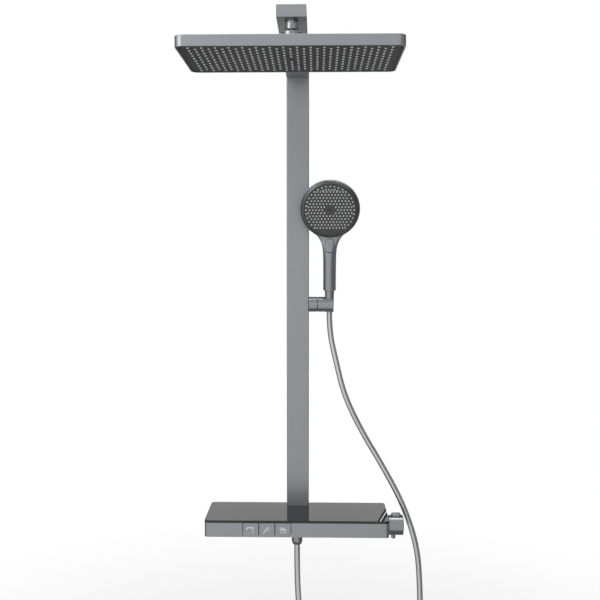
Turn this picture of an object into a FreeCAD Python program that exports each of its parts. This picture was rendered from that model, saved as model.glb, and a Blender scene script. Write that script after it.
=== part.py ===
import FreeCAD, Part
import math
import os
import Sketcher
from FreeCAD import Placement, Rotation, Vector

# Rain shower system: a glass shelf mixer, a flat column with arm and rain head, and a hand shower on a hose.
# Millimetres. X is to the right seen from the front, the wall is the plane Y = 0 and the front is -Y.
# Z is up. The origin is on the wall, midway between the hot and the cold inlet.

doc = FreeCAD.newDocument("rain_shower")
sheet = doc.addObject("Spreadsheet::Sheet", "sizes")

SIZES = [
    ("wall_gap", 45, "wall to the back of the shelf"),
    ("shelf_width", 400, "shelf, left to right"),
    ("shelf_depth", 130, "shelf, front to back"),
    ("shelf_corner", 8, "corner radius of shelf and glass"),
    ("body_height", 31, "shelf body without the glass"),
    ("body_wall", 3, "wall and floor of the shelf body"),
    ("gasket_thickness", 0.6, "seal between body and glass"),
    ("gasket_inset", 0.5, "seal inside the outline"),
    ("gasket_width", 2, "width of the seal"),
    ("glass_thickness", 4.6, "black glass"),
    ("glass_bevel", 0.6, "polished edge of the glass"),
    ("run_gap", 0.4, "gap between pieces that move past each other"),
    ("fit_gap", 0.05, "radial gap of a turning or sliding fit"),
    ("seat_gap", 0.3, "gap around a piece set into a recess"),
    ("key_pitch", 35, "spacing of the three keys"),
    ("key_gap", 0.8, "slit between two keys"),
    ("key_row_offset", 64.5, "middle key, left of the column"),
    ("key_depth", 14, "key block, front to back"),
    ("key_travel", 4, "stroke of a key"),
    ("key_round", 1.2, "rounded front edges of a key"),
    ("key_stem_radius", 4, "stem behind a key"),
    ("valve_radius", 11, "push valve cartridge"),
    ("valve_length", 24, "push valve cartridge in front of the manifold"),
    ("valve_tail", 6, "push valve thread inside the manifold"),
    ("manifold_depth", 44, "manifold, front to back"),
    ("manifold_height", 22, "manifold height"),
    ("manifold_left", 120, "manifold, left of the column"),
    ("manifold_right", 95, "manifold, right of the column"),
    ("mixer_length", 40, "mixing block at the right end of the manifold"),
    ("inlet_spacing", 150, "hot to cold inlet"),
    ("inlet_bore", 12.1, "radius of the bore in a union nut"),
    ("inlet_length", 11, "free length of the bore in a union nut"),
    ("nut_across", 30, "union nut across flats"),
    ("nut_length", 20, "union nut"),
    ("nut_standoff", 2.5, "union nut behind the shelf"),
    ("nipple_radius", 8.8, "neck of an inlet nipple"),
    ("nipple_collar", 10.7, "collar of an inlet nipple"),
    ("nipple_bore", 6.5, "water way of an inlet nipple"),
    ("knob_radius", 21.7, "temperature knob"),
    ("knob_length", 31.5, "temperature knob"),
    ("knob_setback", 41, "knob axis behind the front of the shelf"),
    ("knob_round", 2, "rounded end of the knob"),
    ("ring_thickness", 1.2, "ring between shelf and knob"),
    ("spindle_radius", 5, "spindle of the thermostat"),
    ("cartridge_radius", 12, "thermostat cartridge"),
    ("cartridge_neck", 9, "neck of the cartridge in the side wall"),
    ("stop_length", 20, "stop button along the knob"),
    ("stop_width", 12, "stop button across the knob"),
    ("stop_proud", 4.5, "stop button above the knob"),
    ("stop_travel", 2.5, "stroke of the stop button"),
    ("stud_radius", 4.7, "grip stud under the knob"),
    ("stud_length", 8.4, "grip stud below the knob"),
    ("outlet_setback", 40, "hose outlet behind the front of the shelf"),
    ("outlet_radius", 9, "hose outlet nipple"),
    ("lower_nut_radius", 12, "hose nut at the shelf"),
    ("lower_nut_length", 28, "hose nut below the shelf"),
    ("hose_diameter", 13, "hose"),
    ("hose_bore", 8.5, "water way of the hose"),
    ("hose_drop", 446, "lowest run of the hose below the shelf"),
    ("hose_side", 40, "hose beside the end of the knob"),
    ("spout_offset", 60, "spout pivot, left of the column"),
    ("spout_inset", 45, "spout outlet from the left end of the shelf"),
    ("spout_width", 26, "spout arm"),
    ("spout_thickness", 11, "spout arm"),
    ("pivot_radius", 8, "spout pivot"),
    ("aerator_radius", 10, "aerator"),
    ("column_width", 50, "column and arm"),
    ("tube_depth", 20, "column front to back, and arm height"),
    ("tube_wall", 1.5, "wall of column and arm"),
    ("tube_edge", 2, "rounded edges of column and arm"),
    ("column_setback", 3.6, "column in front of the back of the shelf"),
    ("column_height", 985, "glass to the top of the arm"),
    ("foot_rise", 30, "foot spigot inside the column"),
    ("arm_reach", 462, "arm in front of the column"),
    ("arm_cap", 3, "end cap of the arm"),
    ("riser_radius", 6, "inner pipe"),
    ("riser_bend", 13, "bend of the inner pipe"),
    ("bracket_drop", 30, "wall bracket below the arm"),
    ("bracket_width", 44, "wall bracket plate"),
    ("bracket_length", 74, "wall bracket plate"),
    ("bracket_plate", 4, "wall bracket plate thickness"),
    ("bracket_post", 11, "radius of the bracket post"),
    ("bracket_hole", 2.75, "radius of a wall screw hole"),
    ("bracket_holes", 50, "spacing of the wall screw holes"),
    ("stem_inset", 22, "ball stem behind the end of the arm"),
    ("stem_radius", 11, "ball stem"),
    ("stem_length", 15.5, "ball stem"),
    ("neck_radius", 5.5, "neck above the ball"),
    ("neck_gap", 4, "stem to collar"),
    ("ball_radius", 10, "ball"),
    ("liner_thickness", 0.8, "slip liner of the ball"),
    ("collar_radius", 16.5, "collar of the rain head"),
    ("collar_height", 27, "collar of the rain head"),
    ("ball_depth", 12, "ball centre below the top of the collar"),
    ("boss_height", 3.5, "boss of the rain head in the collar"),
    ("head_width", 364, "rain head, left to right"),
    ("head_depth", 188, "rain head, front to back"),
    ("head_thickness", 18, "rain head"),
    ("head_corner", 13, "corner radius of the rain head"),
    ("head_round", 1.5, "rounded upper edge of the rain head"),
    ("head_wall", 2.2, "wall of the rain head"),
    ("head_ledge", 3, "ledge that carries the face plate"),
    ("face_recess", 1, "face plate above the lower edge"),
    ("face_thickness", 2.5, "face plate"),
    ("nozzle_columns", 31, "nozzle columns, left to right"),
    ("nozzle_rows", 10, "nozzles in the longer columns"),
    ("nozzle_pitch", 10.81, "nozzle columns"),
    ("nozzle_row_pitch", 17.3, "nozzles in one column"),
    ("nozzle_radius", 1.6, "root of a nozzle"),
    ("nozzle_tip", 1.2, "tip of a nozzle"),
    ("nozzle_height", 1.5, "nozzle below the plate"),
    ("plug_radius", 2.6, "plug in the middle of a face plate"),
    ("holder_height", 461, "glass to the axis of the holder"),
    ("holder_radius", 17, "holder"),
    ("holder_base", 19, "fixed part of the holder"),
    ("holder_gap", 1, "friction washer"),
    ("cradle_length", 35.5, "turning part of the holder"),
    ("socket_to_end", 9, "hand shower axis to the end of the holder"),
    ("pin_radius", 6, "pin of the holder"),
    ("rest_lean", 9, "forward lean of the hand shower, degrees"),
    ("face_angle", 10, "face of the hand shower against its handle, degrees"),
    ("handset_radius", 65.5, "disc of the hand shower"),
    ("spray_radius", 60.3, "face plate of the hand shower"),
    ("spray_thickness", 2.5, "face plate of the hand shower"),
    ("spray_offset", 26, "face in front of the handle axis"),
    ("spray_height", 216, "face centre above the holder axis, along the handle"),
    ("disc_back", 26, "disc thickness in the middle"),
    ("disc_rim", 9, "disc thickness at the rim"),
    ("handle_radius", 14.4, "handle"),
    ("handle_start", 33, "lower end of the handle above the holder axis"),
    ("flare_drop", 104, "start of the flare below the face centre"),
    ("upper_nut_top", 10.65, "hose nut at the handle, radius"),
    ("upper_nut_foot", 9.4, "hose nut at its foot, radius"),
    ("spray_pitch", 7, "nozzles in one row of the hand shower"),
    ("spray_row_pitch", 6.5, "rows of the hand shower"),
    ("spray_field", 48.5, "radius of the nozzle rows"),
    ("spray_bare", 15, "bare circle in the middle"),
    ("spray_ring", 52.6, "radius of the outer nozzle ring"),
    ("spray_lower", 40, "lower end of the nozzle ring"),
    ("spray_nozzle", 1.2, "radius of a hand shower nozzle"),
    ("mode_width", 19.8, "mode button"),
    ("mode_length", 29.6, "mode button"),
    ("mode_drop", 80.5, "mode button below the face centre"),
    ("mode_proud", 0.8, "mode button in front of the neck"),
    ("mode_travel", 1.5, "stroke of the mode button"),
]

for row, (name, number, note) in enumerate(SIZES, start=1):
    sheet.set(f"A{row}", note)
    sheet.set(f"B{row}", str(number))
    sheet.setAlias(f"B{row}", name)
doc.recompute()


class Size:
    """A length as a number and as the formula that binds it to the sheet."""

    def __init__(self, text, value):
        self.text = text
        self.value = value

    def joined(self, sign, other, value):
        return Size(f"({self.text} {sign} {other.text})", value)

    def __add__(self, other):
        other = as_size(other)
        return self.joined("+", other, self.value + other.value)

    def __sub__(self, other):
        other = as_size(other)
        return self.joined("-", other, self.value - other.value)

    def __mul__(self, other):
        other = as_size(other)
        return self.joined("*", other, self.value * other.value)

    def __truediv__(self, other):
        other = as_size(other)
        return self.joined("/", other, self.value / other.value)

    def __neg__(self):
        return as_size(0) - self

    def __radd__(self, other):
        return as_size(other) + self

    def __rsub__(self, other):
        return as_size(other) - self

    def __rmul__(self, other):
        return as_size(other) * self


def as_size(thing):
    if isinstance(thing, Size):
        return thing
    return Size(f"({thing:.6g})", float(thing))


class SizeBook:
    """The sizes of the sheet by name."""

    def __getattr__(self, name):
        return Size(f"sizes.{name}", float(sheet.get(name)))


S = SizeBook()


def bind(thing, name, size):
    thing.setExpression(name, as_size(size).text)


def step(number):
    return (number > 1e-9) - (number < -1e-9)


def point(pair):
    return Vector(as_size(pair[0]).value, as_size(pair[1]).value, 0)


def hold(sketch, item, end, pair):
    """Bind one point of a sketch to its two formulas."""
    for kind, axis, size in (("DistanceX", -2, pair[0]), ("DistanceY", -1, pair[1])):
        if not isinstance(size, Size) and size == 0:
            sketch.addConstraint(Sketcher.Constraint("PointOnObject", item, end, axis))
            continue
        size = as_size(size)
        index = sketch.addConstraint(Sketcher.Constraint(kind, -1, 1, item, end, size.value))
        bind(sketch, f"Constraints[{index}]", size)


def outline(*corners, closed=True):
    """Drawing of straight edges; a corner (across, up, radius) between square edges is rounded."""

    def draw(sketch):
        count = len(corners)
        stations = []
        for index, corner in enumerate(corners):
            if len(corner) == 2:
                stations.append((corner, corner, None))
                continue
            here = point(corner)
            into = here - point(corners[index - 1])
            out = point(corners[(index + 1) % count]) - here
            across, up, radius = as_size(corner[0]), as_size(corner[1]), corner[2]
            entry = (across - radius * step(into.x), up - radius * step(into.y))
            leave = (across + radius * step(out.x), up + radius * step(out.y))
            middle = (entry[0] + radius * step(out.x), entry[1] + radius * step(out.y))
            stations.append((entry, leave, (middle, radius, into.x * out.y - into.y * out.x)))
        last = count if closed else count - 1
        lines = []
        for index in range(last):
            start, end = stations[index][1], stations[(index + 1) % count][0]
            line = sketch.addGeometry(Part.LineSegment(point(start), point(end)), False)
            hold(sketch, line, 1, start)
            if stations[(index + 1) % count][2] or (not closed and index == last - 1):
                hold(sketch, line, 2, end)
            lines.append(line)
        for index in range(0 if closed else 1, last):
            before, after, arc = lines[index - 1], lines[index], stations[index][2]
            if arc is None:
                sketch.addConstraint(Sketcher.Constraint("Coincident", before, 2, after, 1))
                continue
            middle, radius, turn = arc
            centre, first, second = point(middle), point(stations[index][0]), point(stations[index][1])
            if turn < 0:
                first, second = second, first
            angles = [math.atan2(p.y - centre.y, p.x - centre.x) for p in (first, second)]
            circle = Part.Circle(centre, Vector(0, 0, 1), radius.value)
            bow = sketch.addGeometry(Part.ArcOfCircle(circle, *angles), False)
            ends = (1, 2) if turn > 0 else (2, 1)
            sketch.addConstraint(Sketcher.Constraint("Coincident", bow, ends[0], before, 2))
            sketch.addConstraint(Sketcher.Constraint("Coincident", bow, ends[1], after, 1))
            number = sketch.addConstraint(Sketcher.Constraint("Radius", bow, radius.value))
            bind(sketch, f"Constraints[{number}]", radius)

    return draw


def rectangle(left, right, low, high, radius=None):
    corners = [(left, low), (right, low), (right, high), (left, high)]
    if radius is not None:
        corners = [(x, y, radius) for x, y in corners]
    return outline(*corners)


def circles(radius, *centres):
    def draw(sketch):
        for centre in centres:
            item = sketch.addGeometry(Part.Circle(point(centre), Vector(0, 0, 1), as_size(radius).value), False)
            hold(sketch, item, 3, centre)
            index = sketch.addConstraint(Sketcher.Constraint("Radius", item, as_size(radius).value))
            bind(sketch, f"Constraints[{index}]", radius)

    return draw


def together(*drawings):
    def draw(sketch):
        for drawing in drawings:
            drawing(sketch)

    return draw


def new_body(label):
    body = doc.addObject("PartDesign::Body", label)
    body.Label = label
    return body


def new_sketch(body, plane, drawing, lift=0):
    sketch = body.newObject("Sketcher::SketchObject", body.Name + "_sketch")
    support = [feature for feature in body.Origin.OriginFeatures if feature.Role == plane][0]
    sketch.AttachmentSupport = [(support, "")]
    sketch.MapMode = "FlatFace"
    bind(sketch, "AttachmentOffset.Base.z", lift)
    drawing(sketch)
    return sketch


NORMALS = {"XY_Plane": 1, "XZ_Plane": -1, "YZ_Plane": 1}


def add(body, plane, drawing, low, high, kind="Pad"):
    """Pad or cut a drawing between two positions along the axis square to its plane."""
    low, high = as_size(low), as_size(high)
    lift = low if NORMALS[plane] > 0 else -high
    feature_sketch = new_sketch(body, plane, drawing, lift)
    feature = body.newObject("PartDesign::" + kind, body.Name + "_" + kind.lower())
    feature.Profile = feature_sketch
    bind(feature, "Length", high - low)
    feature.Reversed = kind == "Pocket"
    feature_sketch.Visibility = False
    return feature


def cut(body, plane, drawing, low, high):
    return add(body, plane, drawing, low, high, "Pocket")


def soften(body, radius, wanted, kind="Fillet"):
    """Round or bevel the edges that the test picks."""
    doc.recompute()
    base = body.Tip
    names = [f"Edge{i}" for i, edge in enumerate(base.Shape.Edges, start=1) if wanted(edge)]
    feature = body.newObject("PartDesign::" + kind, body.Name + "_" + kind.lower())
    feature.Base = (base, names)
    bind(feature, "Radius" if kind == "Fillet" else "Size", radius)
    return feature


TURNS = {
    "z": (Vector(1, 0, 0), 0),
    "-z": (Vector(1, 0, 0), 180),
    "x": (Vector(0, 1, 0), 90),
    "y": (Vector(1, 0, 0), -90),
    "-y": (Vector(1, 0, 0), 90),
}


def place(thing, x, y, z, along="z"):
    thing.Placement = Placement(Vector(), Rotation(*TURNS[along]))
    for axis, size in (("x", x), ("y", y), ("z", z)):
        bind(thing, "Placement.Base." + axis, size)
    return thing


def turned(label, *corners, at=(0, 0, 0), along="z"):
    """Turned piece: an outline of (radius, height) corners revolved about its own axis."""
    body = new_body(label)
    sketch = new_sketch(body, "XZ_Plane", outline(*corners))
    feature = body.newObject("PartDesign::Revolution", label + "_revolution")
    feature.Profile = sketch
    feature.ReferenceAxis = (sketch, ["V_Axis"])
    feature.Angle = 360
    sketch.Visibility = False
    return place(body, *at, along)


def sleeve(label, inner, outer, length, at=(0, 0, 0), along="z"):
    return turned(label, (inner, 0), (outer, 0), (outer, length), (inner, length), at=at, along=along)


def rod(radius, length, at, along="z"):
    thing = doc.addObject("Part::Cylinder", "rod")
    bind(thing, "Radius", radius)
    bind(thing, "Height", length)
    return place(thing, *at, along)


def ball(radius, at):
    thing = doc.addObject("Part::Sphere", "ball")
    bind(thing, "Radius", radius)
    return place(thing, *at)


def block(left, right, front, back, low, high):
    thing = doc.addObject("Part::Box", "block")
    bind(thing, "Length", as_size(right) - left)
    bind(thing, "Width", as_size(back) - front)
    bind(thing, "Height", as_size(high) - low)
    return place(thing, left, front, low)


def joined(label, *pieces):
    thing = doc.addObject("Part::MultiFuse", label)
    thing.Label = label
    thing.Shapes = list(pieces)
    return thing


def without(label, base, *tools):
    thing = doc.addObject("Part::Cut", label)
    thing.Label = label
    thing.Base = base
    thing.Tool = tools[0] if len(tools) == 1 else joined(label + "_tools", *tools)
    return thing


def overlap(label, *pieces):
    thing = doc.addObject("Part::MultiCommon", label)
    thing.Label = label
    thing.Shapes = list(pieces)
    return thing


def solid(label, shape):
    thing = doc.addObject("Part::Feature", label)
    thing.Label = label
    thing.Shape = shape
    return thing


def level_at(height):
    return lambda edge: all(abs(vertex.Point.z - height) < 1e-4 for vertex in edge.Vertexes)


nodes = []


def keep(*things):
    nodes.extend(things)


# Shelf: levels and depths

half = S.shelf_width / 2
shelf_back = -S.wall_gap
shelf_front = shelf_back - S.shelf_depth
body_top = S.body_height / 2
body_low = -body_top
floor_top = body_low + S.body_wall
glass_low = body_top + S.gasket_thickness
glass_top = glass_low + S.glass_thickness
column_back = shelf_back - S.column_setback
column_mid = column_back - S.tube_depth / 2
column_front = column_back - S.tube_depth
column_side = S.column_width / 2
key_half = (S.key_pitch - S.key_gap) / 2
key_places = [-S.key_row_offset - S.key_pitch, -S.key_row_offset, -S.key_row_offset + S.key_pitch]
bay_left = -S.key_row_offset - S.key_pitch * 1.5 - S.key_gap / 2
bay_right = -S.key_row_offset + S.key_pitch * 1.5 + S.key_gap / 2
bay_back = shelf_front + S.key_depth + S.key_travel + S.run_gap
valve_front = bay_back + S.body_wall
manifold_front = valve_front + S.valve_length
manifold_back = manifold_front + S.manifold_depth
manifold_top = S.manifold_height / 2
manifold_low = -manifold_top
mixer_end = S.manifold_right + S.mixer_length
knob_y = shelf_front + S.knob_setback
outlet_y = shelf_front + S.outlet_setback
spout_x = -S.spout_offset
spout_y = manifold_front + S.manifold_depth / 2
inlet_x = S.inlet_spacing / 2
nut_front = shelf_back + S.nut_standoff
nut_mouth = nut_front + S.nut_length
stem_hole = S.key_stem_radius + S.run_gap

body = new_body("shelf_body")
add(body, "XY_Plane", rectangle(-half, half, shelf_front, shelf_back, S.shelf_corner), body_low, body_top)
hollow = S.body_wall
cut(
    body,
    "XY_Plane",
    rectangle(-half + hollow, half - hollow, shelf_front + hollow, shelf_back - hollow, S.shelf_corner - hollow),
    floor_top,
    body_top + 1,
)
add(
    body,
    "XY_Plane",
    rectangle(bay_left - hollow, bay_right + hollow, shelf_front + hollow / 2, bay_back + hollow),
    body_low,
    body_top,
)
cut(body, "XY_Plane", rectangle(bay_left, bay_right, shelf_front - 1, bay_back), body_low - 1, body_top + 1)
cut(body, "XZ_Plane", circles(stem_hole, *[(x, 0) for x in key_places]), bay_back - 1, bay_back + hollow + 1)
cut(
    body,
    "XZ_Plane",
    circles(S.nipple_radius + S.seat_gap, (-inlet_x, 0), (inlet_x, 0)),
    shelf_back - hollow - 1,
    shelf_back + 1,
)
cut(body, "YZ_Plane", circles(S.cartridge_neck + S.seat_gap, (knob_y, 0)), half - hollow - 1, half + 1)
cut(body, "XY_Plane", circles(S.outlet_radius + S.seat_gap, (0, outlet_y)), body_low - 1, floor_top + 1)
cut(body, "XY_Plane", circles(S.pivot_radius + S.seat_gap, (spout_x, spout_y)), body_low - 1, floor_top + 1)
keep(body)

seal = S.gasket_inset + S.gasket_width
gasket = new_body("glass_gasket")
inset = S.gasket_inset
add(
    gasket,
    "XY_Plane",
    rectangle(-half + inset, half - inset, shelf_front + inset, shelf_back - inset, S.shelf_corner - inset),
    body_top,
    glass_low,
)
cut(
    gasket,
    "XY_Plane",
    rectangle(-half + seal, half - seal, shelf_front + seal, shelf_back - seal, S.shelf_corner - seal),
    body_top - 1,
    glass_low + 1,
)
keep(gasket)

glass = new_body("glass_top")
add(glass, "XY_Plane", rectangle(-half, half, shelf_front, shelf_back, S.shelf_corner), glass_low, glass_top)
soften(glass, S.glass_bevel, level_at(glass_top.value), "Chamfer")
room = S.seat_gap
cut(
    glass,
    "XY_Plane",
    rectangle(-column_side - room, column_side + room, column_front - room, column_back + room, S.tube_edge + room),
    glass_low - 1,
    glass_top + 1,
)
keep(glass)

# Keys and their push valves

stem_end = valve_front + 8
for name, middle in zip(("spout", "hand", "rain"), key_places):
    key = new_body("key_" + name)
    add(
        key,
        "XY_Plane",
        outline(
            (middle - key_half, shelf_front, S.key_round),
            (middle + key_half, shelf_front, S.key_round),
            (middle + key_half, shelf_front + S.key_depth),
            (middle - key_half, shelf_front + S.key_depth),
        ),
        body_low,
        body_top - S.run_gap,
    )
    add(key, "XZ_Plane", circles(S.key_stem_radius, (middle, 0)), shelf_front + S.key_depth, stem_end)
    keep(key)
    bore = S.key_stem_radius + S.run_gap
    bore_end = 8 + S.key_travel + 1.5
    valve = turned(
        "valve_" + name,
        (bore, 0),
        (S.valve_radius, 0),
        (S.valve_radius, S.valve_length),
        (S.valve_radius - 3, S.valve_length),
        (S.valve_radius - 3, S.valve_length + S.valve_tail),
        (0, S.valve_length + S.valve_tail),
        (0, bore_end),
        (bore, bore_end),
        at=(middle, valve_front, 0),
        along="y",
    )
    keep(valve)

# Water ways inside the shelf

manifold = new_body("valve_manifold")
boss_half = S.outlet_radius + 4
add(
    manifold,
    "XY_Plane",
    outline(
        (-S.manifold_left, manifold_front),
        (-boss_half, manifold_front),
        (-boss_half, outlet_y - S.outlet_radius - 4),
        (boss_half, outlet_y - S.outlet_radius - 4),
        (boss_half, manifold_front),
        (S.manifold_right, manifold_front),
        (S.manifold_right, knob_y - S.cartridge_radius - 4),
        (mixer_end, knob_y - S.cartridge_radius - 4),
        (mixer_end, manifold_back),
        (-S.manifold_left, manifold_back),
    ),
    manifold_low,
    manifold_top,
)
tail_hole = S.valve_radius - 3 + S.fit_gap
cut(
    manifold,
    "XZ_Plane",
    circles(tail_hole, *[(x, 0) for x in key_places]),
    manifold_front - 1,
    manifold_front + S.valve_tail + 1,
)
keep(manifold)

ring_out = S.nipple_radius + S.seat_gap
seat_out = S.nipple_collar + S.seat_gap
hex_half = S.nut_across / 2
hex_side = S.nut_across / (2 * math.sqrt(3))
seat_y = nut_mouth - S.inlet_length
for side, middle in (("left", -inlet_x), ("right", inlet_x)):
    reach = seat_y - manifold_back
    nipple = turned(
        "inlet_nipple_" + side,
        (S.nipple_bore, 0),
        (S.nipple_radius, 0),
        (S.nipple_radius, reach - 3),
        (S.nipple_collar, reach - 3),
        (S.nipple_collar, reach),
        (S.nipple_bore, reach),
        at=(middle, manifold_back, 0),
        along="y",
    )
    keep(nipple)
    nut = new_body("inlet_nut_" + side)
    add(
        nut,
        "XZ_Plane",
        outline(
            (middle - hex_side, -hex_half),
            (middle + hex_side, -hex_half),
            (middle + hex_side * 2, 0),
            (middle + hex_side, hex_half),
            (middle - hex_side, hex_half),
            (middle - hex_side * 2, 0),
        ),
        nut_front,
        nut_mouth,
    )
    cut(nut, "XZ_Plane", circles(ring_out, (middle, 0)), nut_front - 1, nut_mouth)
    cut(nut, "XZ_Plane", circles(seat_out, (middle, 0)), seat_y - 3, nut_mouth)
    cut(nut, "XZ_Plane", circles(S.inlet_bore, (middle, 0)), seat_y, nut_mouth + 1)
    keep(nut)

ring_x = half + S.ring_thickness
knob_x = ring_x + S.run_gap
knob_end = knob_x + S.knob_length
neck_end = half - mixer_end + S.ring_thickness
spindle_end = knob_x + S.knob_length * 0.6 - mixer_end
cartridge = turned(
    "thermostat_cartridge",
    (0, 0),
    (S.cartridge_radius, 0),
    (S.cartridge_radius, neck_end - S.ring_thickness - S.body_wall - 2),
    (S.cartridge_neck, neck_end - S.ring_thickness - S.body_wall - 2),
    (S.cartridge_neck, neck_end),
    (S.spindle_radius, neck_end),
    (S.spindle_radius, spindle_end),
    (0, spindle_end),
    at=(mixer_end, knob_y, 0),
    along="x",
)
keep(cartridge)
ring_radius = S.knob_radius - 4
keep(
    sleeve(
        "knob_ring",
        S.cartridge_neck + S.seat_gap,
        min((ring_radius, body_top - 1), key=lambda size: size.value),
        S.ring_thickness,
        at=(half, knob_y, 0),
        along="x",
    )
)

# Temperature knob with its stop button, stud and cap

bore = S.spindle_radius + S.fit_gap
cap_radius = S.knob_radius * 0.55
cap_depth = 1.5
knob_core = turned(
    "knob_core",
    (bore, 0),
    (S.knob_radius, 0),
    (S.knob_radius, S.knob_length, S.knob_round),
    (cap_radius + S.fit_gap, S.knob_length),
    (cap_radius + S.fit_gap, S.knob_length - cap_depth),
    (0, S.knob_length - cap_depth),
    (0, S.knob_length * 0.6 + 2),
    (bore, S.knob_length * 0.6 + 2),
    at=(knob_x, knob_y, 0),
    along="x",
)
stop_depth = 5
slot = S.seat_gap
stop_low = S.knob_radius - stop_depth
stop_left = knob_x + (S.knob_length - S.stop_length) / 2
stop_right = stop_left + S.stop_length
stop_half = S.stop_width / 2
stud_x = knob_x + S.knob_length / 3
keep(
    without(
        "temperature_knob",
        knob_core,
        block(
            stop_left - slot,
            stop_right + slot,
            knob_y - stop_half - slot,
            knob_y + stop_half + slot,
            stop_low - S.stop_travel - S.run_gap,
            S.knob_radius + 1,
        ),
        rod(S.stud_radius + S.fit_gap, 10, (stud_x, knob_y, -S.knob_radius + 3), "-z"),
    )
)
stop = new_body("stop_button")
add(
    stop,
    "XY_Plane",
    rectangle(stop_left, stop_right, knob_y - stop_half, knob_y + stop_half, S.stop_width * 0.3),
    stop_low,
    S.knob_radius + S.stop_proud,
)
soften(stop, S.stop_proud * 0.3, level_at((S.knob_radius + S.stop_proud).value))
keep(stop)
stud_size = S.stud_length + 3
keep(
    turned(
        "knob_stud",
        (0, 0),
        (S.stud_radius, 0),
        (S.stud_radius, stud_size, S.stud_radius * 0.3),
        (0, stud_size),
        at=(stud_x, knob_y, -S.knob_radius + 3),
        along="-z",
    )
)
keep(
    turned(
        "knob_cap",
        (0, 0),
        (cap_radius, 0),
        (cap_radius, cap_depth),
        (0, cap_depth),
        at=(knob_end - cap_depth, knob_y, 0),
        along="x",
    )
)

# Hose outlet under the shelf

outlet_reach = manifold_low - body_low + 17
keep(
    sleeve(
        "hose_outlet",
        S.hose_bore / 2,
        S.outlet_radius,
        outlet_reach,
        at=(0, outlet_y, manifold_low),
        along="-z",
    )
)
lower_top = body_low - 1
lower_foot = body_low - S.lower_nut_length
lower_size = lower_top - lower_foot
thread_depth = 16
keep(
    turned(
        "hose_nut_lower",
        (S.outlet_radius + S.fit_gap, 0),
        (S.lower_nut_radius, 0),
        (S.lower_nut_radius, lower_size, S.lower_nut_radius * 0.4),
        (S.hose_bore / 2, lower_size),
        (S.hose_bore / 2, thread_depth),
        (S.outlet_radius + S.fit_gap, thread_depth),
        at=(0, outlet_y, lower_top),
        along="-z",
    )
)

# Bath spout, stowed under the shelf

spout_top = body_low - S.run_gap
spout_low = spout_top - S.spout_thickness
clip_low = spout_low - S.run_gap - 1.2
pivot_size = manifold_low - clip_low
keep(
    sleeve(
        "spout_pivot",
        S.pivot_radius - 3,
        S.pivot_radius,
        pivot_size,
        at=(spout_x, spout_y, manifold_low),
        along="-z",
    )
)
keep(
    sleeve(
        "spout_clip",
        S.pivot_radius + S.fit_gap,
        S.pivot_radius + 3,
        1.2,
        at=(spout_x, spout_y, spout_low - S.run_gap),
        along="-z",
    )
)
spout = new_body("spout_arm")
tip_x = S.spout_inset - S.shelf_width / 2
spout_half = S.spout_width / 2
spout_round = spout_half * 0.98
add(
    spout,
    "XY_Plane",
    rectangle(tip_x - spout_half, spout_x + spout_half, spout_y - spout_half, spout_y + spout_half, spout_round),
    spout_low,
    spout_top,
)
cut(spout, "XY_Plane", circles(S.pivot_radius + S.fit_gap, (spout_x, spout_y)), spout_low - 1, spout_top + 1)
cut(spout, "XY_Plane", circles(S.aerator_radius + S.fit_gap, (tip_x, spout_y)), spout_low - 1, spout_low + 5)
keep(spout)
keep(
    turned(
        "spout_aerator",
        (0, 0),
        (S.aerator_radius, 0),
        (S.aerator_radius, 6.5),
        (S.aerator_radius - 2, 6.5),
        (S.aerator_radius - 2, 5),
        (0, 5),
        at=(tip_x, spout_y, spout_low + 5),
        along="-z",
    )
)

# Column, arm and the pipe inside them

foot_top = body_top
arm_top = glass_top + S.column_height
arm_low = arm_top - S.tube_depth
arm_front = column_front - S.arm_reach
arm_mid = arm_top - S.tube_depth / 2
inner_edge = S.tube_edge * 0.25
wall = S.tube_wall
spigot = S.tube_wall + S.seat_gap
foot = new_body("column_foot")
foot_half = column_side - spigot
add(
    foot,
    "XY_Plane",
    rectangle(-foot_half, foot_half, manifold_back, column_back - S.seat_gap),
    floor_top,
    foot_top,
)
add(
    foot,
    "XY_Plane",
    rectangle(-foot_half, foot_half, column_front + spigot, column_back - spigot),
    foot_top,
    foot_top + S.foot_rise,
)
cut(
    foot,
    "XY_Plane",
    circles(S.riser_radius + S.fit_gap, (0, column_mid)),
    foot_top + S.foot_rise - 12,
    foot_top + S.foot_rise + 1,
)
cut(foot, "XY_Plane", circles(S.riser_radius - 1.5, (0, column_mid)), 0, foot_top + S.foot_rise)
cut(foot, "XZ_Plane", circles(S.riser_radius - 1.5, (0, 0)), manifold_back - 1, column_mid)
keep(foot)

column = new_body("riser_column")
add(
    column,
    "XY_Plane",
    together(
        rectangle(-column_side, column_side, column_front, column_back, S.tube_edge),
        rectangle(-column_side + wall, column_side - wall, column_front + wall, column_back - wall, inner_edge),
    ),
    foot_top,
    arm_top,
)
cut(
    column,
    "YZ_Plane",
    outline((column_front - 1, arm_low - 1), (column_back + 1, arm_top + 1), (column_front - 1, arm_top + 1)),
    -S.column_width,
    S.column_width,
)
holder_z = glass_top + S.holder_height
bracket_z = arm_low - S.bracket_drop
cut(
    column,
    "YZ_Plane",
    circles(S.pin_radius + S.seat_gap, (column_mid, holder_z)),
    column_side - wall - 1,
    column_side + 1,
)
cut(column, "XZ_Plane", circles(3, (0, bracket_z)), column_back - wall - 1, column_back + 1)
keep(column)

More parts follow.
